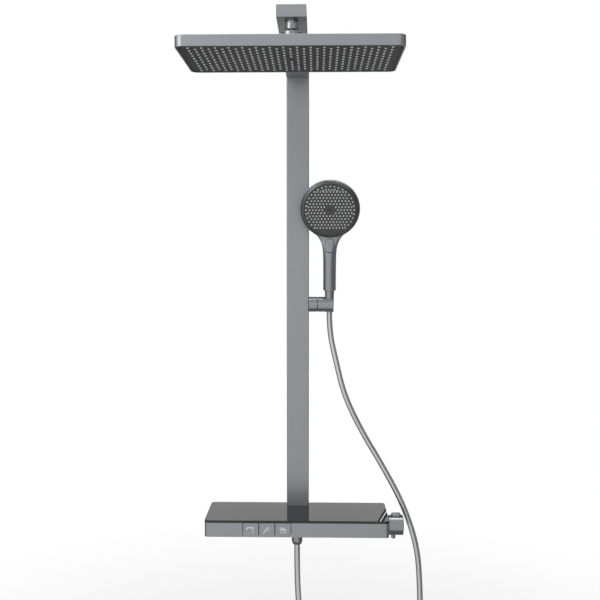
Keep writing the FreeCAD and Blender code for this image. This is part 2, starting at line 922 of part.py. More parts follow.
stem_y = arm_front + S.stem_inset
arm = new_body("shower_arm")
add(
    arm,
    "XZ_Plane",
    together(
        rectangle(-column_side, column_side, arm_low, arm_top, S.tube_edge),
        rectangle(-column_side + wall, column_side - wall, arm_low + wall, arm_top - wall, inner_edge),
    ),
    arm_front + S.arm_cap,
    column_back,
)
cut(
    arm,
    "YZ_Plane",
    outline((column_front - 1, arm_low - 1), (column_back + 1, arm_top + 1), (column_back + 1, arm_low - 1)),
    -S.column_width,
    S.column_width,
)
thread_radius = S.stem_radius - 4
cut(arm, "XY_Plane", circles(thread_radius + S.seat_gap, (0, stem_y)), arm_low - 1, arm_low + wall + 1)
keep(arm)

cap = new_body("arm_cap")
add(
    cap,
    "XZ_Plane",
    rectangle(-column_side, column_side, arm_low, arm_top, S.tube_edge),
    arm_front,
    arm_front + S.arm_cap,
)
add(
    cap,
    "XZ_Plane",
    rectangle(-column_side + spigot, column_side - spigot, arm_low + spigot, arm_top - spigot),
    arm_front + S.arm_cap,
    arm_front + S.arm_cap + 4,
)
keep(cap)

riser_low = foot_top + S.foot_rise - 12
riser = new_body("riser_pipe")
spine = new_sketch(
    riser,
    "YZ_Plane",
    outline(
        (column_mid, riser_low),
        (column_mid, arm_mid, S.riser_bend),
        (stem_y + S.stem_radius + 2, arm_mid),
        closed=False,
    ),
)
section = new_sketch(
    riser,
    "XY_Plane",
    together(circles(S.riser_radius, (0, column_mid)), circles(S.riser_radius - 1.5, (0, column_mid))),
    riser_low,
)
pipe = riser.newObject("PartDesign::AdditivePipe", "riser_pipe_sweep")
pipe.Profile = section
pipe.Spine = spine
keep(riser)

bracket = new_body("wall_bracket")
plate_half = S.bracket_width / 2
plate_rise = S.bracket_length / 2
add(
    bracket,
    "XZ_Plane",
    rectangle(-plate_half, plate_half, bracket_z - plate_rise, bracket_z + plate_rise, S.bracket_width * 0.12),
    -S.bracket_plate,
    0,
)
add(bracket, "XZ_Plane", circles(S.bracket_post, (0, bracket_z)), column_back, -S.bracket_plate)
cut(
    bracket,
    "XZ_Plane",
    circles(
        S.bracket_hole,
        (0, bracket_z - S.bracket_holes / 2),
        (0, bracket_z + S.bracket_holes / 2),
    ),
    -S.bracket_plate - 1,
    1,
)
cut(bracket, "XZ_Plane", circles(2.5 + S.fit_gap, (0, bracket_z)), column_back - 1, column_back + 16)
keep(bracket)
screw_head = S.tube_depth / 2 - wall - S.riser_radius - S.seat_gap
keep(
    turned(
        "bracket_screw",
        (0, 0),
        (5, 0),
        (5, screw_head),
        (2.5, screw_head),
        (2.5, 17),
        (0, 17),
        at=(0, column_back - wall - screw_head, bracket_z),
        along="y",
    )
)

# Ball joint of the rain head

collar_top = arm_low - S.stem_length - S.neck_gap
ball_z = collar_top - S.ball_depth
head_top = collar_top - S.collar_height
head_low = head_top - S.head_thickness
ball_at = (0, stem_y, ball_z)
gap = S.seat_gap
stem_body = turned(
    "stem_body",
    (0, -S.tube_wall - 4),
    (thread_radius, -S.tube_wall - 4),
    (thread_radius, 0),
    (S.stem_radius, 0),
    (S.stem_radius, S.stem_length),
    (S.neck_radius, S.stem_length),
    (S.neck_radius, arm_low - ball_z),
    (0, arm_low - ball_z),
    at=(0, stem_y, arm_low),
    along="-z",
)
keep(
    without(
        "ball_stem",
        joined("stem_and_ball", stem_body, ball(S.ball_radius, ball_at)),
        rod(3, S.stem_length + S.ball_depth + 60, (0, stem_y, ball_z - 20)),
    )
)
liner_in = S.ball_radius + gap
liner_out = liner_in + S.liner_thickness
cup = liner_out + gap
keep(
    overlap(
        "ball_liner",
        without("liner_shell", ball(liner_out, ball_at), ball(liner_in, ball_at)),
        rod(S.ball_radius * 2, S.ball_radius, (0, stem_y, ball_z - S.ball_radius / 2)),
    )
)
cavity = S.collar_radius - 2.2
boss_top = head_top + S.boss_height
seat_top = ball_z - 2
collar_low = head_top
keep(
    without(
        "head_collar",
        turned(
            "collar_core",
            (0, 0),
            (S.collar_radius, 0),
            (S.collar_radius, S.collar_height, S.collar_radius * 0.08),
            (0, S.collar_height),
            at=(0, stem_y, collar_low),
        ),
        ball(cup, ball_at),
        rod(cavity, seat_top - head_top + 1, (0, stem_y, head_top - 1)),
        rod(S.neck_radius + 3, S.ball_depth + 1, (0, stem_y, ball_z)),
    )
)
keep(
    without(
        "ball_seat",
        rod(cavity - gap, seat_top - boss_top, (0, stem_y, boss_top)),
        ball(cup, ball_at),
        rod(5, S.collar_height, (0, stem_y, head_top)),
    )
)

# Rain head

head_half = S.head_width / 2
head_front = stem_y - S.head_depth / 2
head_back = stem_y + S.head_depth / 2
face_low = head_low + S.face_recess
face_top = face_low + S.face_thickness
shell_wall = S.head_wall
inner_wall = S.head_wall + S.head_ledge
shell = new_body("head_shell")
add(
    shell,
    "XY_Plane",
    rectangle(-head_half, head_half, head_front, head_back, S.head_corner),
    head_low,
    head_top,
)
soften(shell, S.head_round, level_at(head_top.value))
cut(
    shell,
    "XY_Plane",
    rectangle(
        -head_half + shell_wall,
        head_half - shell_wall,
        head_front + shell_wall,
        head_back - shell_wall,
        S.head_corner - shell_wall,
    ),
    head_low - 1,
    face_top,
)
cut(
    shell,
    "XY_Plane",
    rectangle(
        -head_half + inner_wall,
        head_half - inner_wall,
        head_front + inner_wall,
        head_back - inner_wall,
        S.head_corner - inner_wall,
    ),
    face_top - 1,
    head_top - shell_wall,
)
add(shell, "XY_Plane", circles(cavity - gap, (0, stem_y)), head_top - shell_wall / 2, boss_top)
cut(shell, "XY_Plane", circles(5, (0, stem_y)), head_top - shell_wall - 1, boss_top + 1)
keep(shell)


def nozzle(root, tip, height):
    """Six-sided nozzle that points down from its root at height 0."""
    rings = []
    for radius, level in ((root, 0), (tip, -height)):
        corners = [
            Vector(radius * math.cos(math.radians(60 * k)), radius * math.sin(math.radians(60 * k)), level)
            for k in range(7)
        ]
        rings.append(Part.makePolygon(corners))
    return Part.makeLoft(rings, True, True)


def with_nozzles(plate, model, places):
    """One solid: the plate, with the face at height 0 opened and continued by the nozzles."""
    faces = [face for face in plate.Faces if abs(face.CenterOfMass.z) > 1e-6]
    carrier = [face for face in plate.Faces if abs(face.CenterOfMass.z) <= 1e-6][0]
    openings = []
    for x, y in places:
        tip = model.copy()
        tip.translate(Vector(x, y, 0))
        for face in tip.Faces:
            if abs(face.CenterOfMass.z) > 1e-6:
                faces.append(face)
                continue
            openings.append(face.OuterWire.copy())
    opened = Part.Face([carrier.OuterWire] + openings)
    if opened.Area > carrier.Area:
        for opening in openings:
            opening.reverse()
        opened = Part.Face([carrier.OuterWire] + openings)
    faces.append(opened)
    skin = Part.Compound(faces)
    skin.sewShape()
    hole = Part.makeCylinder(S.plug_radius.value + S.fit_gap.value, 40, Vector(0, 0, -20))
    return Part.Solid(skin.Shells[0]).cut(hole)


face = new_body("face_blank")
face_wall = S.head_wall + S.seat_gap
face_half = head_half - face_wall
face_reach = S.head_depth / 2 - face_wall
add(
    face,
    "XY_Plane",
    rectangle(-face_half, face_half, -face_reach, face_reach, S.head_corner - face_wall),
    0,
    S.face_thickness,
)
doc.recompute()
head_places = []
columns = int(S.nozzle_columns.value)
for column_number in range(columns):
    rows = int(S.nozzle_rows.value) - column_number % 2
    x = (column_number - (columns - 1) / 2) * S.nozzle_pitch.value
    for row_number in range(rows):
        y = (row_number - (rows - 1) / 2) * S.nozzle_row_pitch.value
        if math.hypot(x, y) > 2 * S.plug_radius.value:
            head_places.append((x, y))
head_tip = nozzle(S.nozzle_radius.value, S.nozzle_tip.value, S.nozzle_height.value)
keep(place(solid("head_face", with_nozzles(face.Shape, head_tip, head_places)), 0, stem_y, face_low))
keep(
    turned(
        "head_plug",
        (0, 0),
        (S.plug_radius, 0),
        (S.plug_radius, S.face_thickness + 0.4),
        (0, S.face_thickness + 0.4),
        at=(0, stem_y, face_top),
        along="-z",
    )
)

# Holder on the right side of the column

base_end = column_side + S.holder_base
cradle_start = base_end + S.holder_gap
cradle_end = cradle_start + S.cradle_length
socket_x = cradle_end - S.socket_to_end
pin_end = socket_x - S.upper_nut_top - 3
flange = S.pin_radius + 1.5
base = turned(
    "holder_base",
    (S.pin_radius + S.fit_gap, 0),
    (S.holder_radius, 0),
    (S.holder_radius, S.holder_base, S.holder_radius * 0.04),
    (S.pin_radius + S.fit_gap, S.holder_base),
    at=(column_side, column_mid, holder_z),
    along="x",
)
keep(base)
pin_start = column_side - wall - 2.5
keep(
    turned(
        "holder_pin",
        (0, 0),
        (flange, 0),
        (flange, 2.5),
        (S.pin_radius, 2.5),
        (S.pin_radius, pin_end - pin_start),
        (0, pin_end - pin_start),
        at=(pin_start, column_mid, holder_z),
        along="x",
    )
)
keep(
    sleeve(
        "friction_washer",
        S.pin_radius + S.run_gap,
        S.holder_radius - 1.5,
        S.holder_gap,
        at=(base_end, column_mid, holder_z),
        along="x",
    )
)


def lean(thing):
    """Set a piece that is drawn about the holder axis into its forward lean."""
    thing.Placement = Placement(Vector(), Rotation(Vector(1, 0, 0), S.rest_lean.value))
    bind(thing, "Placement.Base.x", socket_x)
    bind(thing, "Placement.Base.y", column_mid)
    bind(thing, "Placement.Base.z", holder_z)
    bind(thing, "Placement.Rotation.Angle", S.rest_lean)
    return thing


nut_low = -S.holder_radius
nut_top = S.handle_start
cradle_core = turned(
    "cradle_core",
    (0, 0),
    (S.holder_radius, 0, S.holder_radius * 0.04),
    (S.holder_radius, S.cradle_length, S.holder_radius * 0.06),
    (0, S.cradle_length),
    at=(cradle_start - socket_x, 0, 0),
    along="x",
)
taper = (S.upper_nut_top - S.upper_nut_foot) / (nut_top - nut_low)
socket = doc.addObject("Part::Cone", "socket")
bind(socket, "Radius1", S.upper_nut_foot + S.fit_gap * 2 - taper * 5)
bind(socket, "Radius2", S.upper_nut_foot + S.fit_gap * 2 + taper * (S.holder_radius * 2 + 5))
bind(socket, "Height", S.holder_radius * 2 + 10)
place(socket, 0, 0, nut_low - 5)
slot_half = S.hose_diameter / 2 + 0.8
keep(
    lean(
        without(
            "holder_cradle",
            cradle_core,
            socket,
            block(0, S.cradle_length, -slot_half, slot_half, -S.holder_radius - 5, S.holder_radius + 5),
            rod(
                S.pin_radius + S.fit_gap,
                pin_end - cradle_start + 1.4,
                (cradle_start - socket_x - 1, 0, 0),
                "x",
            ),
        )
    )
)

# Hand shower, drawn with its handle upright about the holder axis

upper_nut = turned(
    "hose_nut_upper",
    (S.hose_bore / 2, nut_low),
    (S.upper_nut_foot, nut_low),
    (S.upper_nut_top, nut_top),
    (S.hose_bore / 2, nut_top),
)
keep(lean(upper_nut))

flare_start = S.spray_height - S.flare_drop
mode_at = S.spray_height - S.mode_drop
tilt = Rotation(Vector(1, 0, 0), 90 + S.face_angle.value)
face_at = Vector(0, -S.spray_offset.value, S.spray_height.value)


def facing(shape):
    """Move a shape drawn flat, face up, to the face of the hand shower."""
    return shape.transformed(Placement(face_at, tilt).toMatrix(), True)


def handset_shape():
    rim, edge = S.handset_radius.value, S.spray_radius.value + S.seat_gap.value
    deep, back, side = S.spray_thickness.value, S.disc_back.value, S.disc_rim.value

    def spot(across, up):
        return Vector(across, 0, up)

    profile = [
        Part.makeLine(spot(0, -deep), spot(edge, -deep)),
        Part.makeLine(spot(edge, -deep), spot(edge, -0.3)),
        Part.Arc(
            spot(edge, -0.3),
            spot(edge + (rim - edge) * 0.72, -side * 0.12 - 0.2),
            spot(rim, -side * 0.5),
        ).toShape(),
        Part.makeLine(spot(rim, -side * 0.5), spot(rim, -side)),
        Part.Arc(
            spot(rim, -side),
            spot(rim * 0.66, -side - (back - side) * 0.72),
            spot(0, -back),
        ).toShape(),
        Part.makeLine(spot(0, -back), spot(0, -deep)),
    ]
    disc = Part.Face(Part.Wire(profile)).revolve(Vector(), Vector(0, 0, 1), 360)
    disc = facing(Part.Solid(disc.Shells[0]) if disc.ShapeType != "Solid" else disc)
    start, top, grip = S.handle_start.value, flare_start.value, S.handle_radius.value
    handle = Part.makeCylinder(grip, top - start, Vector(0, 0, start))
    handle = handle.makeFillet(1.5, [edge for edge in handle.Edges if level_at(start)(edge)])
    lower_rim = S.spray_height.value - rim * math.cos(math.radians(S.face_angle.value))
    rise = lower_rim - top
    flare = [
        (0, 0, 1, 1),
        (0.3, 0.0, 1.03, 0.99),
        (0.6, -0.06, 1.16, 0.95),
        (0.9, -0.14, 1.42, 0.88),
        (1.1, -0.22, 1.66, 0.8),
        (1.45, -0.36, 2.15, 0.66),
        (1.9, -0.56, 2.75, 0.48),
    ]
    sections = []
    for up, shift, wide, thick in flare:
        middle = Vector(0, grip * shift, top + rise * up)
        if wide == thick:
            section = Part.Circle(middle, Vector(0, 0, 1), grip * wide)
        else:
            section = Part.Ellipse(middle, grip * wide, grip * thick)
        sections.append(Part.Wire(section.toShape()))
    neck = Part.makeLoft(sections, True, False)
    shape = disc.multiFuse([handle, neck])
    half_wide = S.mode_width.value / 2 + S.seat_gap.value
    half_long = S.mode_length.value / 2 + S.seat_gap.value
    floor = grip + S.mode_proud.value - 6 - S.mode_travel.value - S.run_gap.value
    recess = Part.makeBox(
        half_wide * 2,
        40,
        half_long * 2,
        Vector(-half_wide, -floor - 40, mode_at.value - half_long),
    )
    recess = recess.makeFillet(4 + S.seat_gap.value, [edge for edge in recess.Edges if flat_depth(edge)])
    face_room = facing(Part.makeCylinder(edge, 30, Vector(0, 0, -deep)))
    return shape.cut(recess.cut(facing(Part.makeCylinder(rim + 1, 60, Vector(0, 0, -side - 20))))).cut(face_room)


def flat_depth(edge):
    return abs(edge.tangentAt(edge.FirstParameter).y) > 0.999


keep(lean(solid("handset_shell", handset_shape())))


def spray_places():
    pitch, row_pitch = S.spray_pitch.value, S.spray_row_pitch.value
    places = []
    for row_number in range(-6, 8):
        up = -row_number * row_pitch
        offset = 0.5 * (row_number % 2)
        for item in range(-8, 9):
            across = (item + offset) * pitch
            far = math.hypot(across, up)
            if S.spray_bare.value < far < S.spray_field.value and up > -S.spray_lower.value:
                places.append((across, up))
    for item in range(36):
        across = S.spray_ring.value * math.sin(math.radians(10 * item))
        up = S.spray_ring.value * math.cos(math.radians(10 * item))
        if up > -S.spray_lower.value:
            places.append((across, up))
    return places


spray_blank = Part.makeCylinder(S.spray_radius.value, S.spray_thickness.value, Vector(0, 0, 0))
spray_tip = nozzle(S.spray_nozzle.value, S.spray_nozzle.value * 0.85, 0.8)
spray_face = with_nozzles(spray_blank, spray_tip, [(x, -y) for x, y in spray_places()])
spray_face = spray_face.transformed(Placement(Vector(), Rotation(Vector(1, 0, 0), 180)).toMatrix(), True)
keep(lean(solid("handset_face", facing(spray_face))))
plug = Part.makeCylinder(S.plug_radius.value, S.spray_thickness.value + 0.3, Vector(0, 0, -S.spray_thickness.value))
keep(lean(solid("handset_screw", facing(plug))))

mode_floor = S.handle_radius + S.mode_proud - 6
mode_block = new_body("mode_block")
mode_half = S.mode_width / 2
add(
    mode_block,
    "XZ_Plane",
    rectangle(
        -mode_half,
        mode_half,
        mode_at - S.mode_length / 2,
        mode_at + S.mode_length / 2,
        S.mode_width * 0.2,
    ),
    -S.handle_radius - 5,
    -mode_floor,
)
keep(
    lean(
        overlap(
            "mode_button",
            mode_block,
            rod(S.handle_radius + S.mode_proud, S.mode_length * 2, (0, 0, mode_at - S.mode_length)),
        )
    )
)

# Hose: straight runs joined by tangent arcs

lean_angle = math.radians(S.rest_lean.value)
low_end = Vector(0, outlet_y.value, lower_foot.value)
down = Vector(0, math.sin(lean_angle), -math.cos(lean_angle))
axis = Vector(socket_x.value, column_mid.value, holder_z.value)
high_end = axis + down * S.holder_radius.value
side_x = knob_end.value + S.hose_side.value
bottom = body_low.value - S.hose_drop.value
fall = low_end.z - bottom
side_level = low_end.z - 0.039 * fall


def between(start, end, share):
    return start + (end - start) * share


lower_route = [low_end]
for across, drop, back in (
    (0.0, 0.147, 0.0),
    (0.011, 0.314, 0.0),
    (0.036, 0.493, 0.0),
    (0.076, 0.673, 0.0),
    (0.146, 0.845, 0.01),
    (0.308, 0.959, 0.03),
    (0.542, 1.0, 0.06),
    (0.776, 0.959, 0.1),
    (0.945, 0.845, 0.14),
    (0.996, 0.665, 0.19),
    (1.01, 0.47, 0.25),
    (1.007, 0.254, 0.32),
    (0.985, 0.039, 0.4),
):
    lower_route.append(
        Vector(side_x * across, between(low_end.y, high_end.y, back), low_end.z - fall * drop)
    )
upper_route = [high_end, high_end + down * 46]
for across, drop, back in (
    (0.08, 0.22, 0.97),
    (0.17, 0.36, 0.92),
    (0.36, 0.51, 0.84),
    (0.62, 0.67, 0.72),
    (0.85, 0.83, 0.58),
):
    upper_route.append(
        Vector(
            between(high_end.x, side_x * 0.985, across),
            between(low_end.y, high_end.y, back),
            between(high_end.z, side_level, drop),
        )
    )
whole = lower_route + upper_route[::-1]
split = len(whole) - 4
parting = (whole[split] + whole[split + 1]) * 0.5


def hose_length(label, route):
    """Tube along a route of corners, each rounded by an arc that touches both runs."""
    pieces = []
    radii = []
    here = route[0]
    for before, corner, after in zip(route, route[1:], route[2:]):
        into, out = corner - before, after - corner
        reach = 0.45 * min(into.Length, out.Length)
        turn = into.getAngle(out)
        radii.append(reach / math.tan(turn / 2))
        start = corner - into.normalize() * reach
        end = corner + out.normalize() * reach
        bow = reach / math.tan(turn / 2)
        middle = (out - into).normalize()
        centre = corner + middle * (bow / math.cos(turn / 2))
        top = centre - middle * bow
        pieces.append(Part.LineSegment(here, start))
        pieces.append(Part.Arc(start, top, end))
        here = end
    pieces.append(Part.LineSegment(here, route[-1]))
    path = Part.Wire([piece.toShape() for piece in pieces])
    heading = (route[1] - route[0]).normalize()
    solids = []
    for radius in (S.hose_diameter.value / 2, S.hose_bore.value / 2):
        ring = Part.Wire(Part.Circle(route[0], heading, radius).toShape())
        solids.append(path.makePipeShell([ring], True, False))
    tube = solids[0].cut(solids[1])
    section = math.pi * (S.hose_diameter.value ** 2 - S.hose_bore.value ** 2) / 4
    print(label, "length", round(path.Length), "radii", [round(radius) for radius in radii])
    print(label, "volume share", round(tube.Volume / (section * path.Length), 4))
    return solid(label, tube)


keep(hose_length("hose_lower", whole[: split + 1] + [parting]))
keep(hose_length("hose_upper", [parting] + whole[split + 1 :]))
print("hose route", [[round(number, 2) for number in corner] for corner in whole], "parting", parting)

doc.recompute()

faults = []
for thing in doc.Objects:
    if "Invalid" in thing.State or "Error" in thing.State:
        faults.append(thing.Label)
os.makedirs("parts", exist_ok=True)
for node in nodes:
    shape = node.Shape
    if shape.isNull() or not shape.isValid():
        faults.append(node.Label + " shape")
        continue
    print(node.Label, len(shape.Solids), round(shape.Volume), shape.BoundBox)
if faults:
    raise ValueError("faulty: " + ", ".join(faults))
for node in nodes:
    node.Shape.exportStep(f"parts/{node.Label}.step")
print(len(nodes), "nodes")
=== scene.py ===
import math

import bmesh
import bpy
from mathutils import Matrix, Vector
from mathutils.bvhtree import BVHTree


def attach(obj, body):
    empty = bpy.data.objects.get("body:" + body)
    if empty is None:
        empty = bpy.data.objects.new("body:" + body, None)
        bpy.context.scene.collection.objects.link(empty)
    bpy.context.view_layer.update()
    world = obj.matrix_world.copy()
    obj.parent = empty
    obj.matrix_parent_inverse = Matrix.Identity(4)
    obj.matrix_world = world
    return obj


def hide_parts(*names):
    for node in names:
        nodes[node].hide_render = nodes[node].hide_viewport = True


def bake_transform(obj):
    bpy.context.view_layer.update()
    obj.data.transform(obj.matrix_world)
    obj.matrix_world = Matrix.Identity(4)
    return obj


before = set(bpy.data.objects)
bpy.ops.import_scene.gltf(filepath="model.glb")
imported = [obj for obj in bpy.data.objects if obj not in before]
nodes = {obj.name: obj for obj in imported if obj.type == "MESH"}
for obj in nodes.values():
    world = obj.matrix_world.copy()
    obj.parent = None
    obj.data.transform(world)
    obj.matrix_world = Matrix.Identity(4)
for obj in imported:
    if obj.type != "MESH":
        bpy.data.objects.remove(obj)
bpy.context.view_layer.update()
scene = bpy.context.scene
scene.view_settings.view_transform = "Standard"

MM = 0.001


def mm(x, y, z):
    return Vector((x, y, z)) * MM


def new_object(name, data):
    obj = bpy.data.objects.new(name, data)
    scene.collection.objects.link(obj)
    return obj


def aimed(obj, spot, target):
    """Put an object at a spot, with its front towards the target."""
    obj.location = spot
    obj.rotation_euler = (Vector(target) - Vector(spot)).to_track_quat("-Z", "Y").to_euler()


# Camera: a little to the right of the column, at a height between the shelf and the rain head

IMAGE_SIDE = 600
SENSOR = 36.0
FOCUS = 800.0
EYE = mm(42, -1868.6, 600)
TARGET = mm(5, -68.6, 492)

lens = bpy.data.cameras.new("camera")
lens.sensor_width = SENSOR
lens.lens = SENSOR * FOCUS / IMAGE_SIDE
lens.clip_start = 0.05
lens.clip_end = 60.0
camera = new_object("camera", lens)
aimed(camera, EYE, TARGET)
scene.camera = camera


# Node trees


class Flow:
    """A node's output socket that takes part in Python expressions."""

    def __init__(self, tree, socket):
        self.tree = tree
        self.socket = socket

    def maths(self, operation, *values):
        return grow(self.tree, "ShaderNodeMath", {"operation": operation}, dict(enumerate(values)))

    def __add__(self, other):
        return self.maths("ADD", self, other)

    def __radd__(self, other):
        return self.maths("ADD", other, self)

    def __sub__(self, other):
        return self.maths("SUBTRACT", self, other)

    def __rsub__(self, other):
        return self.maths("SUBTRACT", other, self)

    def __mul__(self, other):
        return self.maths("MULTIPLY", self, other)

    def __rmul__(self, other):
        return self.maths("MULTIPLY", other, self)

    def __gt__(self, other):
        return self.maths("GREATER_THAN", self, other)

    def __lt__(self, other):
        return self.maths("LESS_THAN", self, other)

    def output(self, name):
        return Flow(self.tree, self.socket.node.outputs[name])


def plug(tree, socket, value):
    """Link a flow to a socket, or set the socket's own value."""
    if isinstance(value, Flow):
        tree.links.new(value.socket, socket)
        return
    if hasattr(value, "__len__") and len(value) == 3 and len(socket.default_value) == 4:
        value = (*value, 1.0)
    socket.default_value = value


def grow(tree, kind, settings=None, sockets=None, output=0):
    """Add a node: its settings first, then the values or links of its sockets."""
    made = tree.nodes.new(kind)
    for name, value in (settings or {}).items():
        setattr(made, name, value)
    for name, value in (sockets or {}).items():
        plug(tree, made.inputs[name], value)
    return Flow(tree, made.outputs[output])


# Finishes

COLOUR_FIRST = 6
COLOUR_SECOND = 7
COLOUR_RESULT = 2
NOISE_ROUGHNESS = 0.55


def shade(colour, factor):
    return tuple(factor * part for part in colour)


class Finish:
    """A material: one Principled shader and the nodes that vary it over the surface."""

    def __init__(self, name, **plain):
        self.material = bpy.data.materials.new(name)
        self.material.use_nodes = True
        self.tree = self.material.node_tree
        self.shader = self.tree.nodes["Principled BSDF"]
        for key, value in plain.items():
            self.feed(key.replace("_", " "), value)

    def feed(self, socket, value):
        plug(self.tree, self.shader.inputs[socket], value)

    def node(self, kind, settings=None, sockets=None, output=0):
        return grow(self.tree, kind, settings, sockets, output)

    def place(self, stretch=(1, 1, 1)):
        spot = self.node("ShaderNodeTexCoord", output="Object")
        return self.node("ShaderNodeMapping", None, {"Vector": spot, "Scale": stretch})

    def noise(self, size, detail=2.0, stretch=(1, 1, 1)):
        """Noise between 0 and 1 whose grains are about size metres."""
        spot = self.place(stretch)
        sockets = {"Vector": spot, "Scale": 1 / size, "Detail": detail, "Roughness": NOISE_ROUGHNESS}
        return self.node("ShaderNodeTexNoise", None, sockets)

    def blend(self, share, first, second):
        sockets = {"Factor": share, COLOUR_FIRST: first, COLOUR_SECOND: second}
        return self.node("ShaderNodeMix", {"data_type": "RGBA"}, sockets, COLOUR_RESULT)

    def toned(self, share, colour, darkest, lightest=1.0):
        """Base colour that goes from a darker to a lighter tone of the colour."""
        self.feed("Base Color", self.blend(share, shade(colour, darkest), shade(colour, lightest)))

    def relief(self, height, depth):
        sockets = {"Height": height, "Distance": depth, "Strength": 1.0}
        self.feed("Normal", self.node("ShaderNodeBump", None, sockets))


def satin_metal(name, colour, rough, grain=(1, 1, 1), depth=0.004 * MM):
    """Grey metal with a fine blasted grain, soft clouds of tone and a faint draw direction."""
    finish = Finish(name, Metallic=0.88, Specular_IOR_Level=0.5)
    clouds = finish.noise(90 * MM, detail=3.0)
    drawn = finish.noise(1.2 * MM, stretch=grain)
    speck = finish.noise(0.6 * MM, detail=1.0)
    finish.toned(clouds * 0.5 + drawn * 0.35 + speck * 0.15, colour, 0.93, 1.07)
    finish.feed("Roughness", rough - 0.05 + clouds * 0.04 + drawn * 0.06)
    finish.relief(drawn * 0.6 + speck * 0.4, depth)
    return finish


def cast_metal(name, colour, rough):
    """Machined metal with fine turning lines and a little tarnish."""
    finish = Finish(name, Metallic=1.0)
    tarnish = finish.noise(14 * MM, detail=4.0)
    lines = finish.noise(0.7 * MM, detail=1.0, stretch=(1, 0.2, 1))
    finish.toned(tarnish, colour, 0.72)
    finish.feed("Roughness", rough + tarnish * 0.12 + lines * 0.05)
    finish.relief(lines, 0.02 * MM)
    return finish


def moulded(name, colour, rough, shine=0.5):
    """Moulded plastic or rubber with a fine spark grain."""
    finish = Finish(name, Specular_IOR_Level=shine)
    fine = finish.noise(0.6 * MM)
    broad = finish.noise(30 * MM)
    finish.toned(broad * 0.6 + fine * 0.4, colour, 0.9)
    finish.feed("Roughness", rough - 0.04 + fine * 0.08)
    finish.relief(fine, 0.02 * MM)
    return finish


def ink(name, colour):
    """Printed ink, slightly uneven."""
    finish = Finish(name)
    fine = finish.noise(0.4 * MM)
    finish.toned(fine, colour, 0.88)
    finish.feed("Roughness", 0.45 + fine * 0.12)
    return finish


def black_glass(name):
    """Polished black glass with a faint smear."""
    finish = Finish(name, IOR=1.52, Specular_IOR_Level=0.5)
    smear = finish.noise(50 * MM, detail=3.0)
    finish.feed("Base Color", finish.blend(smear, (0.0035, 0.0035, 0.004), (0.006, 0.006, 0.0065)))
    finish.feed("Roughness", 0.012 + smear * 0.03)
    return finish


WINDING_MAP = "winding"


def hose_silver(name):
    """Silver hose under a clear coat, with slow waves of tone along its length and small flecks."""
    finish = Finish(name, Metallic=0.9, Coat_Weight=0.5, Coat_Roughness=0.08, Coat_IOR=1.5)
    along = finish.node("ShaderNodeUVMap", {"uv_map": WINDING_MAP})
    waves = finish.node("ShaderNodeTexWave", {"bands_direction": "Y"}, {"Vector": along, "Scale": 1.0})
    fleck = finish.noise(1.1 * MM)
    finish.toned(waves * 0.6 + fleck * 0.4, (0.52, 0.525, 0.54), 0.9, 1.1)
    finish.feed("Roughness", 0.2 + fleck * 0.06)
    finish.relief(waves, 0.04 * MM)
    return finish


GUNMETAL = (0.291, 0.297, 0.314)
gunmetal = satin_metal("gunmetal_satin", GUNMETAL, 0.36)
gunmetal_tall = satin_metal("gunmetal_column", GUNMETAL, 0.40, grain=(1, 1, 0.02))
gunmetal_wide = satin_metal("gunmetal_shelf", GUNMETAL, 0.38, grain=(0.02, 1, 1))
# Round parts: the same gunmetal painted 12% darker, as painted shade for the dark surroundings they reflect
gunmetal_round_shaded = satin_metal("gunmetal_round_shaded", shade(GUNMETAL, 0.88), 0.22, depth=0.0012 * MM)
# Bezel ring round the hand shower's face: the same gunmetal painted far darker, as painted shade for the
# dark surroundings the rim reflects
gunmetal_bezel_shaded = satin_metal("gunmetal_bezel_shaded", shade(GUNMETAL, 0.42), 0.32, depth=0.0015 * MM)
# Hand shower and holder: the same gunmetal painted 2% darker, as painted shade
gunmetal_hand_shaded = satin_metal("gunmetal_hand_shaded", shade(GUNMETAL, 0.98), 0.37)
glass = black_glass("glass_black")
silicone = moulded("silicone_grey", (0.68, 0.69, 0.70), 0.5)
silicone_white = moulded("silicone_white", (0.84, 0.85, 0.85), 0.5)
# Dark discs on the nozzle tips: painted shade standing for the nozzles' holes
hole_shade = moulded("nozzle_hole_shade", (0.05, 0.05, 0.05), 0.6)
face_dark = moulded("face_plate_dark", (0.036, 0.036, 0.037), 0.56, shine=0.16)
face_grey = moulded("face_plate_grey", (0.082, 0.082, 0.084), 0.5, shine=0.2)
rubber = moulded("seal_rubber", (0.02, 0.02, 0.02), 0.62)
slip = moulded("slip_liner", (0.72, 0.71, 0.66), 0.38)
brass = cast_metal("brass_turned", (0.62, 0.47, 0.23), 0.3)
zinc = cast_metal("zinc_cast", (0.42, 0.42, 0.43), 0.34)
steel = cast_metal("steel_bright", (0.56, 0.56, 0.57), 0.24)
white_ink = ink("ink_white", (0.95, 0.95, 0.95))
red_ink = ink("ink_red", (0.62, 0.06, 0.04))
blue_ink = ink("ink_blue", (0.10, 0.28, 0.66))
dark_ink = ink("ink_dark", (0.07, 0.07, 0.075))
hose_skin = hose_silver("hose_silver")

